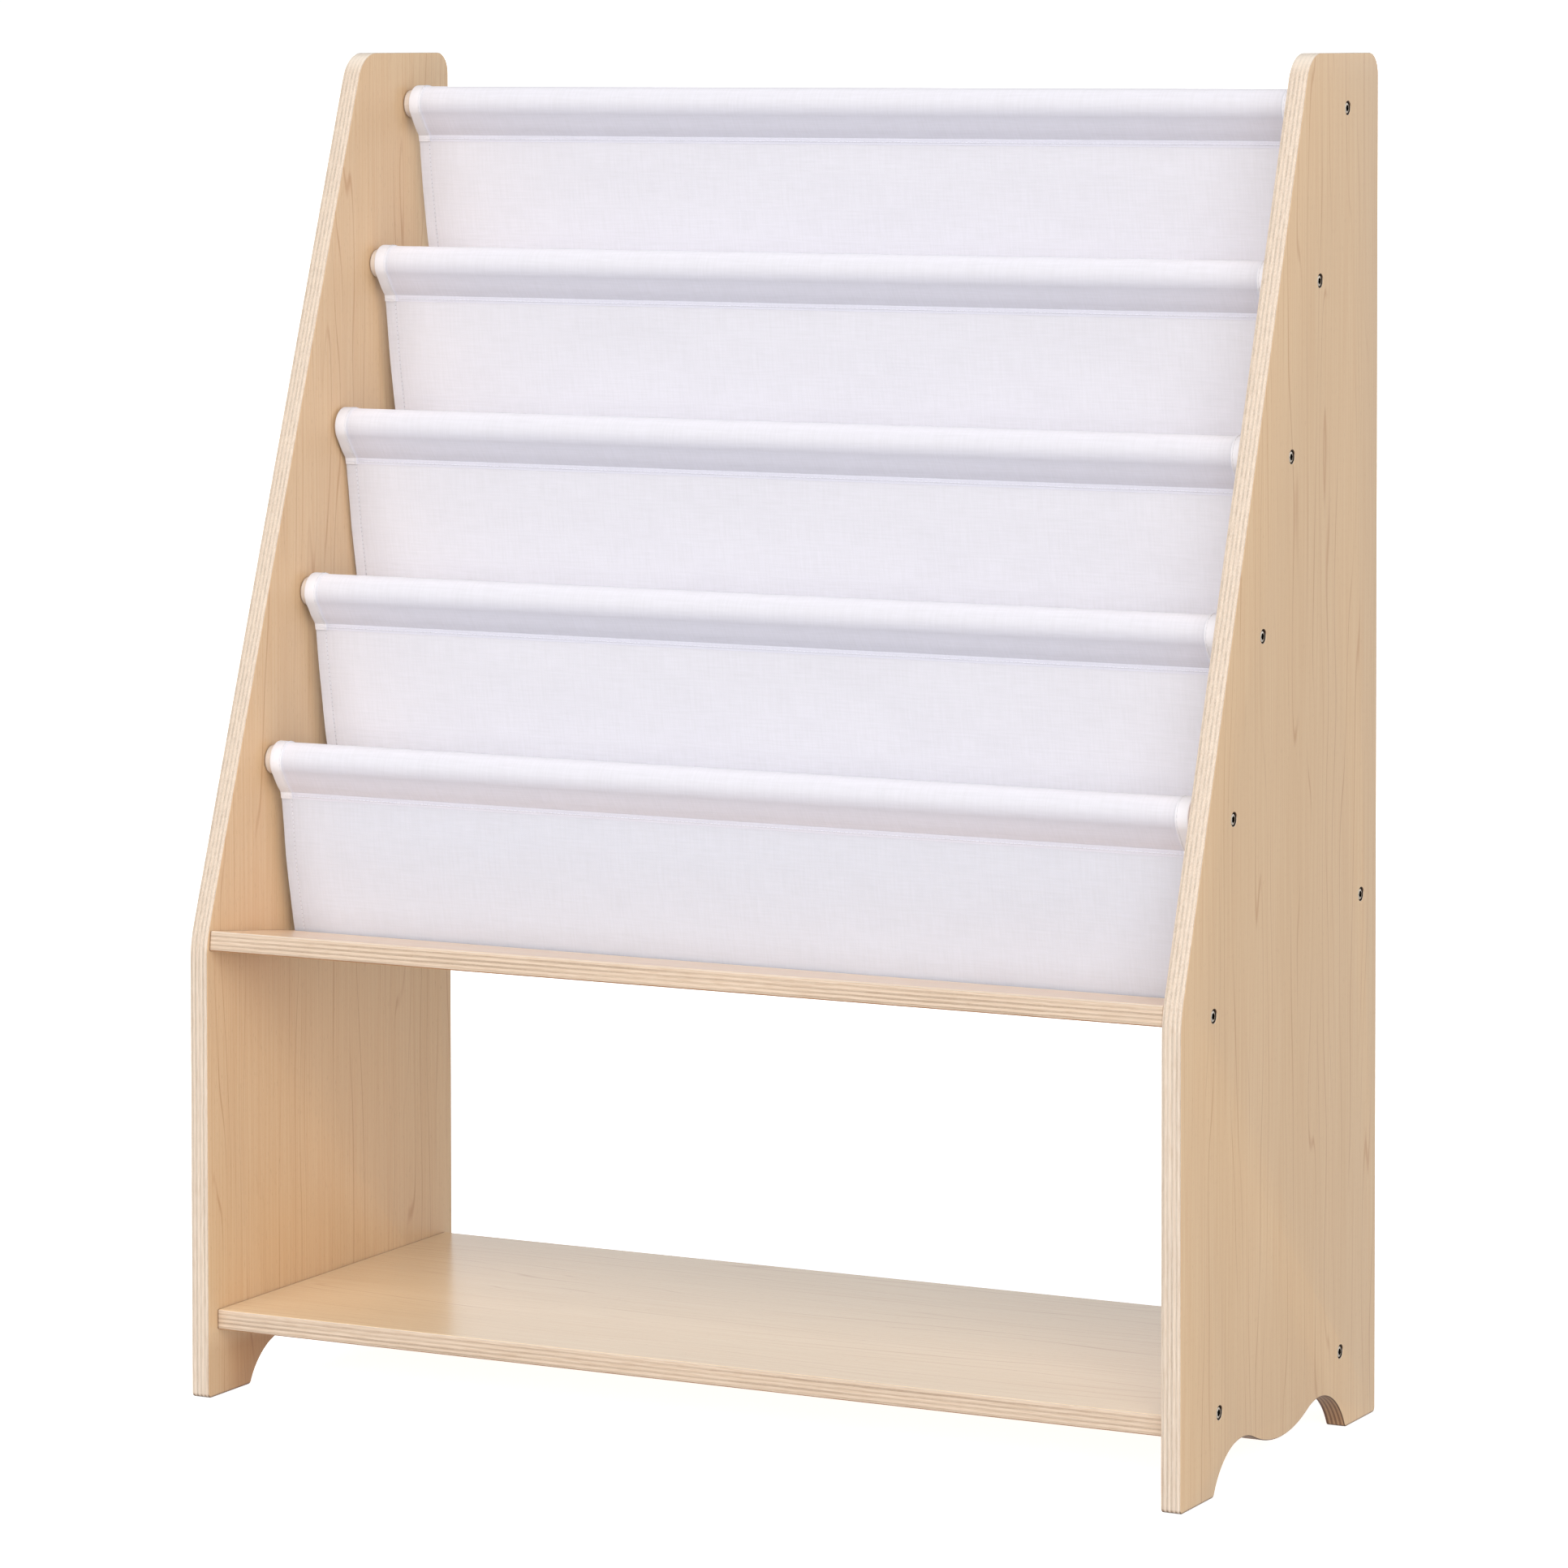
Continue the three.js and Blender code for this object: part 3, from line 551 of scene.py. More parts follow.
# Canvas: off-white cotton in plain weave. Every sheet has its long sides turned
# back to a narrow stitched hem, and its top, doubled and soft, carried over a rod and
# sewn down on itself to make the sleeve.
cloth, sleeve_cloth, rod_slack = 1.0, 2.6, 0.35
sleeve_radius = rod_radius + rod_slack + sleeve_cloth / 2
seam_drop = 24.8
hang = -math.pi / 2 + math.radians(6)
bow_radius, back_pull, back_steps = 850.0, 140.0, 90
pocket_drop, turn_radius = 149.0, 12.0
lap_height, lap_stitch, pressed_lap, lap_gap, lap_dip = 5.0, 2.2, 0.5, 0.04, 0.16
hem_width, hem_stitch, hem_rise = 10.6, 9.0, 0.8
stitch_pitch = 3.4


def tangent_angle(centre, point, radius, side):
    """Where a line from a point outside touches a circle, on its left (1) or right (-1)."""
    away = point - centre
    return angle_of(away) + side * math.acos(radius / away.length)


def leg_line(rod, steps=34):
    """A sheet's hanging stretch from its seam down, on a slack bow to the back."""
    seam = rod + seam_drop * towards(hang)
    centre = seam + bow_radius * towards(hang + math.pi / 2)
    start = math.pi + hang + math.pi / 2
    bottom = rod.y - pocket_drop + turn_radius
    end = math.pi + math.asin((centre.y - bottom) / bow_radius)
    return arc(centre, bow_radius, start, end, steps)


def back_line():
    """The back sheet from the top seam to the one over the rear rod."""
    leg = leg_line(top_rod)
    begin, end = leg[-1], rear_rod + Vector((0, seam_drop))
    along = (leg[-1] - leg[-2]).normalized()
    a, b = begin + along * back_pull, end + Vector((0, back_pull))
    curve = []
    for i in range(1, back_steps + 1):
        t = i / back_steps
        curve.append((1 - t) ** 3 * begin + 3 * (1 - t) ** 2 * t * a
                     + 3 * (1 - t) * t * t * b + t ** 3 * end)
    return leg + curve


def at_height(line, height):
    """Where a line that runs down passes a height."""
    for above, below in zip(line, line[1:]):
        if above.y >= height >= below.y:
            return above.lerp(below, (above.y - height) / (above.y - below.y))


def sleeve(rod, below, sheet_dir, front_side):
    """The sleeve's line: the stitched lap, its flank up to the rod, round it and back.

    below is the seam on the sheet's own line and sheet_dir the way the sheet runs from
    it. front_side is 1 where the lap lies to the left of that way, and -1 to the right.
    """
    outwards = left_of(sheet_dir) * front_side
    crease = below + outwards * (cloth / 2 + pressed_lap / 2 + lap_gap)
    start = tangent_angle(rod, crease, sleeve_radius, front_side)
    finish = tangent_angle(rod, below, sleeve_radius, -front_side)
    sweep = front_side * (finish - start) % (2 * math.pi)
    loop = arc(rod, sleeve_radius, start, start + front_side * sweep, 44)
    lap_end = crease - outwards * lap_dip + sheet_dir * lap_height
    lap = [lap_end.lerp(crease + sheet_dir * lap_stitch, t / 5) for t in range(6)]
    lap += [crease + sheet_dir * down + outwards * out
            for down, out in ((1.5, 0.05), (0.9, 0.08), (0.35, 0.05))]
    flank = [crease, *(crease.lerp(loop[0], t) for t in (0.02, 0.06, 0.2, 0.4, 0.6, 0.8))]
    return lap + flank + loop + [loop[-1].lerp(below, t / 6) for t in range(1, 6)]


def lengths(line):
    """How far along the line each of its points lies."""
    run = [0.0]
    for a, b in zip(line, line[1:]):
        run.append(run[-1] + (b - a).length)
    return run


def smoothstep(x):
    """A soft step from 0 to 1 between 0 and 1."""
    x = min(max(x, 0.0), 1.0)
    return x * x * (3 - 2 * x)


def sheet_columns(width):
    """Distances from one long side across the sheet: close at the hem, then even."""
    near = [0.0, 0.08, 0.3, 0.7, 1.4, 4.0, 7.0, 8.3, hem_stitch, 9.7, 10.2, hem_width, 11.2, 13.0]
    middle_count = 148
    inner = [near[-1] + (width - 2 * near[-1]) * i / middle_count for i in range(1, middle_count)]
    return near + inner + [width - d for d in reversed(near)]


def half_thickness(p, v, length):
    """Half the cloth's thickness: two layers round a rod, one elsewhere, pressed on a lap."""
    from_rod = min((p - rod).length for rod in (*front_rods, rear_rod))
    doubled = smoothstep((seam_drop - 1.0 - from_rod) / 6.0)
    from_cut = min(v, length - v)
    layer = pressed_lap + (cloth - pressed_lap) * smoothstep((from_cut - lap_height - 0.5) / 3.0)
    layer = layer + (sleeve_cloth - layer) * doubled
    return layer / 2 * (0.35 + 0.65 * smoothstep(from_cut / lap_height))


def canvas_sheet(name, line, free, rear_seam, material, width, left_end, tier, seed):
    """The sheet's two faces on one grid, closed along its four sides, with its own weave
    coordinates in millimetres: across, along the cloth, and the distance from the hem.
    tier numbers the sheets from the lowest, and the cloth carries it for its colour.

    Also gives a function that finds a point on either face by those coordinates. The
    hem is turned to the face that is outside on a front sleeve, which on the rear
    sleeve, past rear_seam, is the other one. left_end is where its left side lies.
    """
    run = lengths(line)
    slide = left_end + width / 2
    normals = []
    for i in range(len(line)):
        along = line[min(i + 1, len(line) - 1)] - line[max(i - 1, 0)]
        normals.append(-left_of(along.normalized()))
    halves = [half_thickness(p, v, run[-1]) for p, v in zip(line, run)]
    columns = [d - width / 2 for d in sheet_columns(width)]
    rows, wide = len(line), len(columns)

    def grid_point(x, row, side):
        """A point on one face. The hem's turned edge thickens the face it is folded to, and
        its stitches draw a groove. Open cloth has slack, and a seam puckers."""
        from_edge, v = width / 2 - abs(x), run[row]
        fold_side = 1 if v > rear_seam else -1
        hem = 1 - smoothstep(from_edge - hem_width + 0.5)
        fold = math.sqrt(max(0.0, 1 - (1 - min(from_edge / 0.9, 1.0)) ** 2))
        groove = 0.22 * math.exp(-((from_edge - hem_stitch) / 0.7) ** 2)
        rise = hem * hem_rise if side == fold_side else 0.0
        thick = (halves[row] + rise) * (0.25 + 0.75 * fold) - groove
        slack = (noise.noise(Vector((x / 150, v / 95, seed))) * 1.1
                 + noise.noise(Vector((x / 45, v / 40, seed + 9))) * 0.35)
        pucker = 0.16 * noise.noise(Vector((x / 3.2, v / 14, seed + 20)))
        hem_pull = (0.25 * noise.noise(Vector((x / 30, v / 7, seed + 30)))
                    * math.exp(-max(from_edge - hem_width, 0) / 8))
        ripple = free[row] * slack + free[row] * hem_pull + (1 - free[row]) * pucker * 0.4
        p = line[row] + normals[row] * side * thick + normals[row] * ripple
        edge_wave = 0.35 * noise.noise(Vector((v / 34, seed, math.copysign(3, x))))
        across = x + slide + edge_wave * math.exp(-from_edge / 25)
        return Vector((across * mm, p.x * mm, p.y * mm))

    def face_place(x, v, side):
        row = min(max(bisect.bisect_right(run, v) - 1, 0), rows - 2)
        share = (v - run[row]) / (run[row + 1] - run[row])
        return grid_point(x, row, side).lerp(grid_point(x, row + 1, side), share)

    verts = [grid_point(x, r, side) for side in (1, -1) for r in range(rows) for x in columns]
    back = rows * wide
    faces = []
    for r in range(rows - 1):
        for c in range(wide - 1):
            a = r * wide + c
            faces.append((a, a + 1, a + wide + 1, a + wide))
            faces.append((back + a, back + a + wide, back + a + wide + 1, back + a + 1))
    for c in range(wide - 1):
        last = (rows - 1) * wide + c
        faces.append((c + 1, c, back + c, back + c + 1))
        faces.append((last, last + 1, back + last + 1, back + last))
    for r in range(rows - 1):
        left, right = r * wide, r * wide + wide - 1
        faces.append((left, left + wide, back + left + wide, back + left))
        faces.append((right + wide, right, back + right, back + right + wide))
    mesh = bpy.data.meshes.new(name)
    mesh.from_pydata(verts, [], faces)
    mesh.attributes.new("weave", "FLOAT_VECTOR", "POINT").data.foreach_set("vector", [
        value for _ in (1, -1) for r in range(rows) for x in columns
        for value in (x, run[r], width / 2 - abs(x))])
    mesh.attributes.new("tier", "FLOAT", "POINT").data.foreach_set(
        "value", [float(tier)] * len(verts))
    tidy(mesh)
    sheet = make_piece(name, mesh, material, 50)
    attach(sheet, "root")
    return sheet, run, face_place


# Woven cotton is matt, softly fuzzy and faintly mottled. The threads are 0.6 mm apart,
# over one and under the next, and thicker slubs run along single threads both ways.
thread_pitch, slub_width, slub_length = 0.6, 1.6, 26.0
sleeve_end, next_sleeve, pocket_fold = 98.0, 200.0, 245.0
cotton, tree, shader = new_material("cotton_canvas_plain_weave")
weave, tier = (
    add(tree, "ShaderNodeAttribute", output=output, attribute_name=name, attribute_type="GEOMETRY")
    for name, output in (("weave", "Vector"), ("tier", "Fac")))
across, along, from_hem = add(tree, "ShaderNodeSeparateXYZ", [weave], None).outputs
waves, slub_sets = [], []
for threads, size in ((across, (slub_width, slub_length)), (along, (slub_length, slub_width))):
    phase = add(tree, "ShaderNodeMath", [threads, math.pi / thread_pitch], operation="MULTIPLY")
    waves.append(add(tree, "ShaderNodeMath", [phase], operation="SINE"))
    drawn_out = add(tree, "ShaderNodeMapping", {
        "Vector": weave, "Scale": (1 / size[0], 1 / size[1], 0.0)})
    slub_sets.append(add(tree, "ShaderNodeTexNoise", {
        "Vector": drawn_out, "Scale": 1.0, "Detail": 2.0, "Roughness": 0.6}, "Fac"))
over_under = add(tree, "ShaderNodeMath", waves, operation="MULTIPLY")
slubs = add(tree, "ShaderNodeMath", slub_sets, operation="ADD")
mottle = add(tree, "ShaderNodeMapRange", [slubs, 0.7, 1.3])
cotton_colour = add(tree, "ShaderNodeMix", {
    0: mottle, 6: hex_colour("#d0ced4"), 7: hex_colour("#d6d4db")}, 2, **coloured)

# The needle's pricks along the hems and the lap are painted as dark dots, the painted
# shade in each hole. On a sleeve they are painted fainter.
on_sleeve = add(tree, "ShaderNodeMapRange", [along, sleeve_end - 6.0, sleeve_end, 1.0, 0.0])
off_sleeve = add(tree, "ShaderNodeMath", [1.0, on_sleeve], operation="SUBTRACT")
holes = []
for off_row, seam, along_row in ((from_hem, hem_stitch, along), (along, lap_stitch, across)):
    from_seam = add(tree, "ShaderNodeMath", [off_row, seam], operation="SUBTRACT")
    from_hole = add(tree, "ShaderNodeMath", [along_row, stitch_pitch / 2], operation="PINGPONG")
    squared = add(tree, "ShaderNodeMath", [from_seam, from_seam], operation="MULTIPLY")
    squared = add(tree, "ShaderNodeMath", [from_hole, from_hole, squared], operation="MULTIPLY_ADD")
    holes.append(add(tree, "ShaderNodeMapRange", [squared, 0.15, 0.55, 1.0, 0.0]))
in_hole = add(tree, "ShaderNodeMath", holes, operation="MAXIMUM")
# Painted shade in the holes: strong on the open cloth, faint on a sleeve.
hole_shade_strength = add(tree, "ShaderNodeMath", [on_sleeve, -0.42, 0.5], operation="MULTIPLY_ADD")

# Light comes through the cotton low on each sheet, where the pocket behind is open. An
# opaque surface can't pass it on, so the cloth is painted paler towards the fold, and
# paler again behind the next sleeve. The lowest sheet hangs in the open in front of the
# pockets, and its leg is painted a shade darker and cooler: painted shade.
down_the_leg = add(tree, "ShaderNodeMapRange", [along, sleeve_end, next_sleeve - 12.0])
above_fold = add(tree, "ShaderNodeMapRange", [along, next_sleeve, pocket_fold, 1.0, 0.0])
behind_sleeve = add(tree, "ShaderNodeMapRange", [
    along, next_sleeve - 16.0, next_sleeve, 0.0, 0.17], **soft)
glow = add(tree, "ShaderNodeMath", [down_the_leg, down_the_leg], operation="MULTIPLY")
glow = add(tree, "ShaderNodeMath", [glow, 0.26, -0.06], operation="MULTIPLY_ADD")
glow = add(tree, "ShaderNodeMath", [glow, behind_sleeve], operation="ADD")
glow = add(tree, "ShaderNodeMath", [above_fold, glow, 1.0], operation="MULTIPLY_ADD")
is_lowest = add(tree, "ShaderNodeMath", [tier, 0.5], operation="LESS_THAN")
# Painted shade: the lowest sheet's leg is drawn a shade darker and cooler.
lowest_leg_painted_shade = add(tree, "ShaderNodeMix", {
    0: down_the_leg, 6: hex_colour("#eef1f4"), 7: hex_colour("#eff5fb")}, 2, **coloured)
leg_tone = add(tree, "ShaderNodeMix", {
    0: is_lowest, 6: add(tree, "ShaderNodeCombineColor", [glow] * 3), 7: lowest_leg_painted_shade}, 2, **coloured)
cotton_colour = add(tree, "ShaderNodeMix", {
    0: off_sleeve, 6: cotton_colour, 7: leg_tone}, 2, blend_type="MULTIPLY", **coloured)

# The sleeves' light and shade are painted in too: the cloth is painted paler on the flank
# above the seam, with a painted highlight where it faces up, and darker on the pressed
# lap and on the rod's front below the top. The curve gives that by the distance from the
# lap's cut end, in decimetres; the flank is also painted paler and bluer, and the lowest
# sleeve's flank a shade darker than the rest.
# The curve paints the sleeves' light and shade along the cloth.
layers = add(tree, "ShaderNodeFloatCurve", {
    "Value": add(tree, "ShaderNodeMath", [along, 0.01], operation="MULTIPLY")}, None)
tone_curve = layers.mapping.curves[0]
for point, place in zip(tone_curve.points, ((0.0, 0.98), (1.0, 0.97))):
    point.location = place
for place in ((0.014, 0.91), (0.052, 0.91), (0.068, 1.0), (0.12, 0.98), (0.20, 0.96), (0.245, 0.92),
              (0.28, 0.86), (0.31, 0.845), (0.37, 0.90), (0.42, 0.955), (0.47, 0.97)):
    tone_curve.points.new(*place)
layers.mapping.update()
facing_up = add(tree, "ShaderNodeSeparateXYZ", [
    add(tree, "ShaderNodeNewGeometry", output="Normal")], "Z")
# Painted highlight where the sleeve's cloth faces up.
looking_up = add(tree, "ShaderNodeMapRange", [facing_up, 0.60, 1.0, 0.0, 0.19])
flank = add(tree, "ShaderNodeMapRange", [along, 24.0, 38.0, 1.0, 0.0], **soft)
# Painted shade: the lowest sleeve's flank is drawn a shade darker.
lowest_flank = add(tree, "ShaderNodeMath", [is_lowest, flank], operation="MULTIPLY")
lit = add(tree, "ShaderNodeMath", [layers.outputs[0], looking_up], operation="ADD")
lit = add(tree, "ShaderNodeMath", [lowest_flank, -0.04, lit], operation="MULTIPLY_ADD")
sleeve_tone = add(tree, "ShaderNodeCombineColor", [
    add(tree, "ShaderNodeMath", [flank, gain, lit], operation="MULTIPLY_ADD")
    for gain in (0.035, 0.04, 0.085)])
cotton_colour = add(tree, "ShaderNodeMix", {
    0: on_sleeve, 6: cotton_colour, 7: sleeve_tone}, 2, blend_type="MULTIPLY", **coloured)

# The turned hem's three layers look whiter than the single cloth beside it.
in_hem = add(tree, "ShaderNodeMapRange", [from_hem, hem_width - 0.6, hem_width, 1.0, 0.0])
for share, tone in (((on_sleeve, in_hem), "#dcdadf"), ((in_hole, hole_shade_strength), "#a198a3")):
    cotton_colour = add(tree, "ShaderNodeMix", {
        0: add(tree, "ShaderNodeMath", share, operation="MULTIPLY"),
        6: cotton_colour, 7: hex_colour(tone)}, 2, **coloured)
cloth_relief = add(tree, "ShaderNodeMath", [over_under, 0.30, slubs], operation="MULTIPLY_ADD")
feed(tree, shader, {
    "Base Color": cotton_colour,
    "Normal": add(tree, "ShaderNodeBump", {
        "Height": cloth_relief, "Strength": 0.28, "Distance": 0.00022}),
    "Roughness": 0.88, "Specular IOR Level": 0.25, "Sheen Weight": 0.12, "Sheen Roughness": 0.5})


def free_share(run, start, end, fade=28.0):
    """How freely each row may ripple: nothing on sleeves and seams, all in open cloth."""
    return [smoothstep((v - start) / fade) * smoothstep((end - v) / fade) for v in run]


back_sheet_line = back_line()
rod_pitch = (top_rod.y - low_rod.y) / (rod_count - 1)
tab_rise, tab_height, tab_gap, tab_bend = 12.0, 12.0, 0.25, 4.0
sleeve_run = 103.0


def pocket_line(rod, tier):
    """One pocket from its stitched lap, over the rod, down, round and up to its tab."""
    leg = leg_line(rod)
    along = (leg[-1] - leg[-2]).normalized()
    centre = leg[-1] + left_of(along) * turn_radius
    tab_bottom = back_sheet_line[-1].y + tab_rise + tier * rod_pitch
    foot, head = (at_height(back_sheet_line, z) - Vector((cloth + tab_gap, 0))
                  for z in (tab_bottom, tab_bottom + tab_height))
    to_foot = foot - centre
    floor_length = math.sqrt(to_foot.length_squared - turn_radius ** 2)
    start = angle_of(along) - math.pi / 2
    end = angle_of(to_foot) - math.atan2(floor_length, turn_radius)
    bend = arc(centre, turn_radius, start, end, 14)
    floor_run = [bend[-1].lerp(foot, t / 30) for t in range(1, 30)]
    rise = rounded(bend[-1], foot, head, tab_bend, 6)
    floor_run = [p for p in floor_run if (foot - p).length > (foot - rise[0]).length + 1.5]
    tab = [rise[-1].lerp(head, t / 4) for t in range(1, 5)]
    over_rod = sleeve(rod, leg[0], (leg[1] - leg[0]).normalized(), -1)
    return over_rod + leg + bend[1:] + floor_run + rise + tab


def point_cloud(name, places, **vectors):
    """A mesh of bare points that carries one vector for each point under each name."""
    mesh = bpy.data.meshes.new(name)
    mesh.from_pydata(places, [], [])
    for key, values in vectors.items():
        layer = mesh.attributes.new(key, "FLOAT_VECTOR", "POINT")
        layer.data.foreach_set("vector", [c for v in values for c in v])
    return placed(name, mesh)


def node_tree(name, sizes):
    """An empty Geometry Nodes tree with a named length for each size, and its ends."""
    tree = bpy.data.node_groups.new(name, "GeometryNodeTree")
    tree.interface.new_socket("Geometry", in_out="INPUT", socket_type="NodeSocketGeometry")
    for size in sizes:
        tree.interface.new_socket(size, in_out="INPUT", socket_type="NodeSocketFloat")
    tree.interface.new_socket("Material", in_out="INPUT", socket_type="NodeSocketMaterial")
    tree.interface.new_socket("Geometry", in_out="OUTPUT", socket_type="NodeSocketGeometry")
    return (tree, add(tree, "NodeGroupInput", output=None).outputs,
            add(tree, "NodeGroupOutput", output=None).inputs)


def set_on_points(tree, given, result, instance, lead, follow):
    """Sets the instance on every point, and gives all of them out as one real mesh.

    lead and follow each name one of the instance's axes and the point's vector that it
    turns to: the first all the way, and the second as far as the first lets it.
    """
    before, pivot = {}, {}
    for axis, name in (lead, follow):
        vector = add(tree, "GeometryNodeInputNamedAttribute", {"Name": name},
                     data_type="FLOAT_VECTOR")
        facing = add(tree, "FunctionNodeAlignRotationToVector", {
            **before, "Vector": vector}, axis=axis, **pivot)
        before, pivot = {"Rotation": facing}, {"pivot_axis": axis}
    copies = add(tree, "GeometryNodeInstanceOnPoints", {
        "Points": given["Geometry"], "Instance": instance, "Rotation": facing})
    real = add(tree, "GeometryNodeRealizeInstances", [copies])
    tree.links.new(add(tree, "GeometryNodeSetMaterial", {
        "Geometry": real, "Material": given["Material"]}), result[0])


def grown(holder, tree, material, sizes):
    """The plain mesh that the tree makes of the holder's points."""
    maker = holder.modifiers.new(tree.name, "NODES")
    maker.node_group = tree
    values = {**sizes, "Material": material}
    for socket in tree.interface.items_tree:
        if socket.in_out == "INPUT" and socket.name in values:
            maker[socket.identifier] = values[socket.name]
    return settled(holder)


# A lockstitch: one short bow of thread from hole to hole, thicker than the real 0.4 mm
# thread so that it shows in the render.
tree, given, result = node_tree("lockstitches", ["Stitch Length", "Thread Radius", "Rise"])
ends = [add(tree, "ShaderNodeCombineXYZ", [
    add(tree, "ShaderNodeMath", [given["Stitch Length"], share], operation="MULTIPLY")])
    for share in (-0.5, 0.5)]
bow = add(tree, "GeometryNodeCurveQuadraticBezier", {
    "Resolution": 4, "Start": ends[0], "End": ends[1],
    "Middle": add(tree, "ShaderNodeCombineXYZ", {2: given["Rise"]})})
section = add(tree, "GeometryNodeCurvePrimitiveCircle", {
    "Resolution": 5, "Radius": given["Thread Radius"]})
thread = add(tree, "GeometryNodeCurveToMesh", {
    "Curve": bow, "Profile Curve": section, "Fill Caps": True})
set_on_points(tree, given, result, thread, ("X", "along"), ("Z", "out"))
stitch_tree = tree
stitch_length, thread_radius, stitch_rise = 2.7, 0.28, 0.5

# Twisted cotton thread: matt and a little hairy, a shade paler and darker by turns.
cotton_thread, tree, shader = new_material("white_cotton_sewing_thread")
object_place = add(tree, "ShaderNodeTexCoord", output="Object")
twist = add(tree, "ShaderNodeTexNoise", {
    "Vector": object_place, "Scale": 1800.0, "Detail": 1.0}, "Fac")
feed(tree, shader, {
    "Base Color": add(tree, "ShaderNodeMix", {
        0: twist, 6: hex_colour("#cac9d1"), 7: hex_colour("#dddde3")}, 2, **coloured),
    "Roughness": 0.7, "Sheen Weight": 0.2})


def sewn(sheet, rows):
    """Every stitch of one sheet as a single piece. A row is a list of (x, v, side)
    places on the cloth and the pair of steps in x and v that leads along the seam."""
    places, along, out = [], [], []
    for face_place, stitches, (dx, dv) in rows:
        for x, v, side in stitches:
            here = face_place(x, v, side)
            places.append(here)
            ahead, behind = face_place(x + dx, v + dv, side), face_place(x - dx, v - dv, side)
            along.append((ahead - behind).normalized())
            out.append((here - face_place(x, v, -side)).normalized())
    name = sheet.name + "_stitches"
    mesh = grown(point_cloud(name, places, along=along, out=out), stitch_tree, cotton_thread, {
        "Stitch Length": stitch_length * mm, "Thread Radius": thread_radius * mm,
        "Rise": stitch_rise * mm})
    piece = make_piece(name, mesh, cotton_thread, 60)
    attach(piece, "root")
    return piece


def cross_row(face_place, width, v, side):
    """A seam from side to side of the cloth at one distance along it."""
    count = int((width - 3.0) / stitch_pitch)
    start = -(int(count / 2) - 0.5) * stitch_pitch
    return face_place, [(start + i * stitch_pitch, v, side) for i in range(count - 1)], (0.6, 0.0)


def hem_rows(face_place, width, run, front_seam, rear_seam, covered):
    """Both hems, on each face of the open cloth and on the outside of the sleeves.
    covered lists the stretches of the front face that lie against another sheet."""
    stitches = [(i + 0.5) * stitch_pitch for i in range(int(run[-1] / stitch_pitch))]
    places = [(v, -1) for v in stitches if v < rear_seam]
    places += [(v, 1) for v in stitches if v > front_seam + lap_height + 1.0
               and not any(low - 2.5 < v < high + 2.5 for low, high in covered)]
    edge = width / 2 - hem_stitch
    return [(face_place, [(x, v, side) for v, side in places], (0.0, 0.6)) for x in (-edge, edge)]


def seam_place(line, run, point):
    """How far along the line its point nearest to a place lies."""
    return run[min(range(len(line)), key=lambda i: (line[i] - point).length)]


# Each sheet is sewn to its own width, and the slack lies at its right end. The third one
# has slid a few millimetres to the left on its rod.
sheets = []
sheet_widths = (764.0, 764.5, 766.5, 760.0, 757.0)
left_gap, sheet_shifts = 7.0, (0.0, -1.0, -5.0, -0.5, 0.0)
left_ends = [left_gap - inner_width / 2 + shift for shift in sheet_shifts]
for i, rod in enumerate(front_rods[:-1]):
    width = sheet_widths[i]
    line = pocket_line(rod, i)
    run = lengths(line)
    free = free_share(run, sleeve_run, run[-1] - tab_height - 2.0)
    sheet, run, face_place = canvas_sheet(
        f"pocket_canvas_{i + 1}", line, free, run[-1], cotton, width, left_ends[i], i, 5.0 + 13 * i)
    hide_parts(f"pocket_sheet_{i + 1}")
    front_seam = seam_place(line, run, leg_line(rod)[0])
    tab = (run[-1] - tab_height, run[-1])
    rows = hem_rows(face_place, width, run, front_seam, run[-1], [tab]) + [
        cross_row(face_place, width, lap_stitch, -1),
        cross_row(face_place, width, front_seam + lap_height - lap_stitch, -1),
        cross_row(face_place, width, run[-1] - tab_height / 2, -1)]
    sheets.append((sheet, width, run, rows, [f"dowel_front_rod_{i + 1}", "back_canvas"]))

top_sleeve, rear_sleeve = (
    sleeve(rod, seam, (onwards - seam).normalized(), -1) for rod, (seam, onwards) in (
        (top_rod, back_sheet_line[:2]), (rear_rod, back_sheet_line[:-3:-1])))
whole_back = top_sleeve + back_sheet_line + list(reversed(rear_sleeve))
run = lengths(whole_back)
front_seam = seam_place(whole_back, run, back_sheet_line[0])
rear_seam = seam_place(whole_back, run, back_sheet_line[-1])
free = free_share(run, sleeve_run, run[-1] - sleeve_run)
width = sheet_widths[-1]
sheet, run, face_place = canvas_sheet(
    "back_canvas", whole_back, free, rear_seam, cotton, width, left_ends[-1], rod_count - 1, 71.0)
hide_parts("back_sheet")
covered = []
for tier in range(rod_count - 1):
    tab_bottom = back_sheet_line[-1].y + tab_rise + tier * rod_pitch
    covered.append([seam_place(whole_back, run, at_height(back_sheet_line, tab_bottom + z))
                    for z in (tab_height, 0)])
rows = hem_rows(face_place, width, run, front_seam, rear_seam, covered) + [
    cross_row(face_place, width, lap_stitch, -1),
    cross_row(face_place, width, front_seam + lap_height - lap_stitch, -1),
    cross_row(face_place, width, rear_seam - lap_height + lap_stitch, 1),
    cross_row(face_place, width, run[-1] - lap_stitch, 1)]
rows += [cross_row(face_place, width, (high + low) / 2, -1) for high, low in covered]
sheets.append((sheet, width, run, rows, ["dowel_rear_rod", "dowel_front_rod_5"]))

for sheet, width, run, rows, held_by in sheets:
    flat = (width * mm, run[-1] * mm)
    sewn(sheet, rows)
    print("flat size of", sheet.name, [round(c, 4) for c in flat])
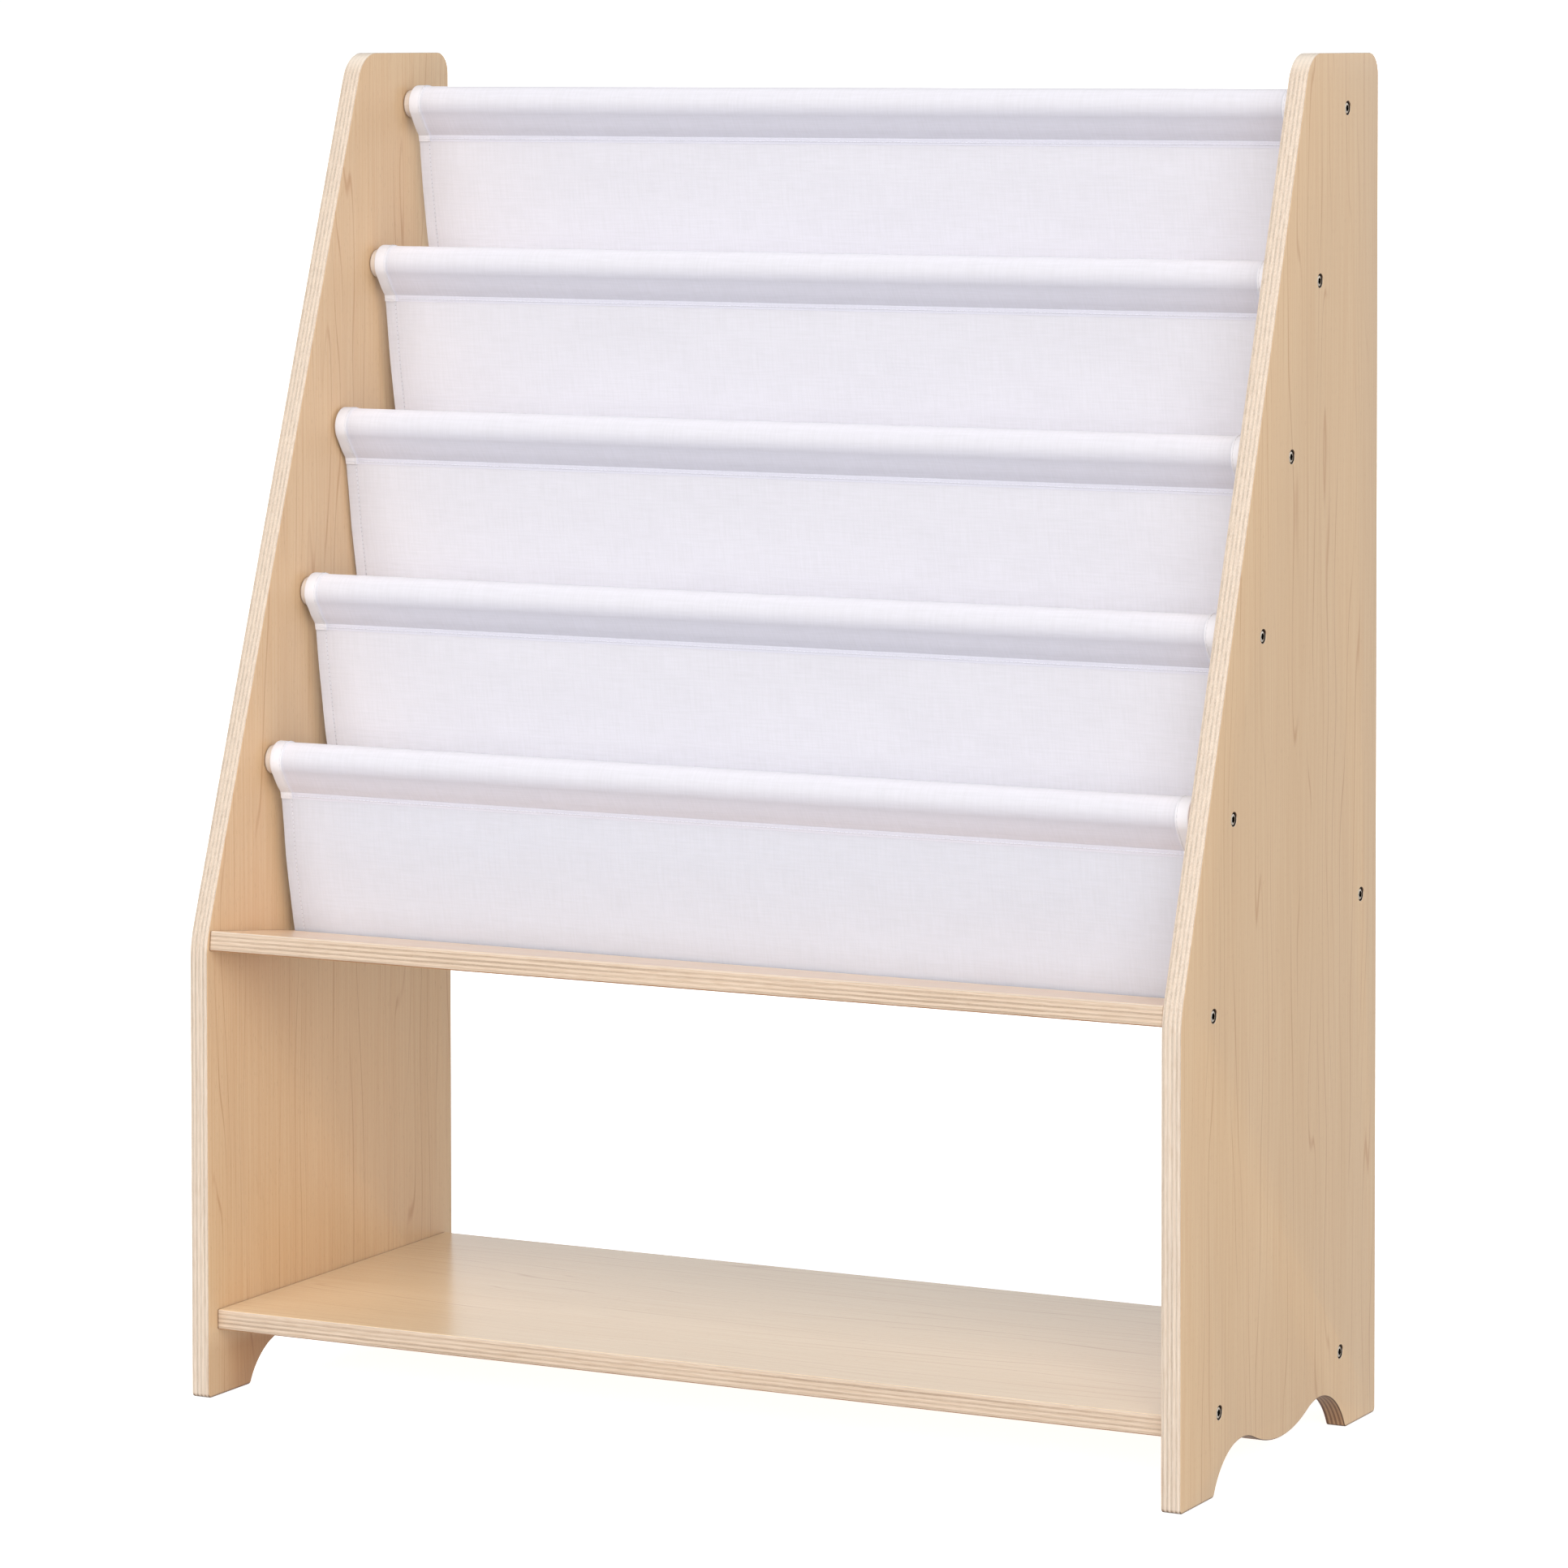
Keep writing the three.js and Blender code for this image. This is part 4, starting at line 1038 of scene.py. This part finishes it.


# Fasteners: nickel-plated connector bolts with domed heads and hex sockets, sunk just
# under the face. The inserts, barrel nuts and pins behind them stay in the wood.

# The plating is polished where it faces out, with fine scuffs. On the socket's walls and
# floor and round the rim it is painted black: painted shade in the socket and the gap.
nickel, tree, shader = new_material("nickel_plated_steel")
object_place = add(tree, "ShaderNodeTexCoord", output="Object")
scuffs = add(tree, "ShaderNodeTexNoise", {
    "Vector": object_place, "Scale": 900.0, "Detail": 3.0}, "Fac")
facing_out, off_middle = (
    add(tree, "ShaderNodeMath", [
        add(tree, "ShaderNodeSeparateXYZ", [vector], "X")], operation="ABSOLUTE")
    for vector in (add(tree, "ShaderNodeNewGeometry", output="Normal"), object_place))
turned_out = add(tree, "ShaderNodeMapRange", [facing_out, 0.78, 0.96])
on_face = add(tree, "ShaderNodeMapRange", [
    off_middle, (case_width / 2 - 1.9) * mm, (case_width / 2 - 1.4) * mm])
# Painted shade: away from the outward face the plating is drawn black.
polished_unshaded = add(tree, "ShaderNodeMath", [turned_out, on_face], operation="MULTIPLY")
feed(tree, shader, {
    "Base Color": add(tree, "ShaderNodeMix", {
        0: polished_unshaded, 6: hex_colour("#0b0a08"), 7: hex_colour("#dcd3c6")}, 2, **coloured),
    "Metallic": polished_unshaded,
    "Roughness": add(tree, "ShaderNodeMapRange", [scuffs, 0.3, 0.7, 0.22, 0.36]),
    "Specular IOR Level": 0.0})

# Die-cast zinc alloy, passivated yellow: a dull metal with a fine cast grain.
zinc, tree, shader = new_material("passivated_zinc_alloy")
object_place = add(tree, "ShaderNodeTexCoord", output="Object")
cast_grain = add(tree, "ShaderNodeTexNoise", {
    "Vector": object_place, "Scale": 2500.0, "Detail": 2.0}, "Fac")
feed(tree, shader, {
    "Base Color": add(tree, "ShaderNodeMix", {
        0: cast_grain, 6: hex_colour("#a8935a"), 7: hex_colour("#c9b583")}, 2, **coloured),
    "Metallic": 1.0, "Roughness": 0.42})

# A bolt: a domed round head with a hex socket for the key, on a plain M6 shank. The
# sphere's upper half is flattened to the dome and its lower half to the head's base.
tree, given, result = node_tree("connector_bolts", [
    "Head Radius", "Head Height", "Dome", "Socket Radius", "Socket Depth",
    "Shank Radius", "Shank Length"])
ball = add(tree, "GeometryNodeMeshUVSphere", {"Segments": 32, "Rings": 12, "Radius": 1.0})
on_ball = add(tree, "ShaderNodeSeparateXYZ", [add(tree, "GeometryNodeInputPosition")], None).outputs
head_x, head_y, dome_z = (
    add(tree, "ShaderNodeMath", [on_ball[axis], given[size]], operation="MULTIPLY")
    for axis, size in (("X", "Head Radius"), ("Y", "Head Radius"), ("Z", "Dome")))
is_dome = add(tree, "ShaderNodeMath", [on_ball["Z"], -0.01], operation="GREATER_THAN")
head_base = add(tree, "ShaderNodeMath", [given["Head Height"], -1.0], operation="MULTIPLY")
head_z = add(tree, "ShaderNodeMix", {0: is_dome, 2: head_base, 3: dome_z}, data_type="FLOAT")
head = add(tree, "GeometryNodeSetPosition", {
    "Geometry": ball, "Position": add(tree, "ShaderNodeCombineXYZ", [head_x, head_y, head_z])})
key_length = add(tree, "ShaderNodeMath", [given["Socket Depth"], 2.0], operation="MULTIPLY")
key = add(tree, "GeometryNodeMeshCylinder", {
    "Vertices": 6, "Radius": given["Socket Radius"], "Depth": key_length}, "Mesh")
key = add(tree, "GeometryNodeTransform", {
    "Geometry": key, "Translation": add(tree, "ShaderNodeCombineXYZ", {2: given["Dome"]})})
socketed = add(tree, "GeometryNodeMeshBoolean", [head, key], operation="DIFFERENCE", solver="EXACT")
shank = add(tree, "GeometryNodeMeshCylinder", {
    "Vertices": 24, "Radius": given["Shank Radius"], "Depth": given["Shank Length"]}, "Mesh")
shank_z = add(tree, "ShaderNodeMath", [
    given["Shank Length"], -0.5, head_base], operation="MULTIPLY_ADD")
shank = add(tree, "GeometryNodeTransform", {
    "Geometry": shank, "Translation": add(tree, "ShaderNodeCombineXYZ", {2: shank_z})})
bolt_shape = add(tree, "GeometryNodeJoinGeometry", output=None)
for shape in (shank, socketed):
    tree.links.new(shape, bolt_shape.inputs[0])
set_on_points(tree, given, result, bolt_shape.outputs[0], ("Z", "out"), ("X", "flat"))

dome, socket_flats, socket_depth, shank_radius, shank_length = 0.7, 4.6, 3.2, 3.0, 45.0
dome_base = case_width / 2 - head_recess - dome
tightened = random.Random(7)
places, out, flat = [], [], []
for side in (-1, 1):
    for p in bolt_places:
        places.append(Vector((side * dome_base, p.x, p.y)) * mm)
        out.append((side, 0, 0))
        angle = tightened.uniform(0, math.pi / 3)
        flat.append((0, math.cos(angle), math.sin(angle)))
bolt_cloud = point_cloud("connector_bolts", places, out=out, flat=flat)
bolts = make_piece("connector_bolts", grown(bolt_cloud, tree, nickel, {
    "Head Radius": head_radius * mm, "Head Height": (head_height - dome) * mm, "Dome": dome * mm,
    "Socket Radius": socket_flats / math.sqrt(3) * mm, "Socket Depth": socket_depth * mm,
    "Shank Radius": shank_radius * mm, "Shank Length": shank_length * mm}), nickel, 35)
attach(bolts, "root")
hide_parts(*[name for name in nodes if name.startswith("bolt_")])

for name, node in nodes.items():
    if name.startswith(("insert_", "barrel_nut_")):
        clad(node, zinc)
    elif name.startswith("locating_pin_"):
        clad(node, dowel_wood)
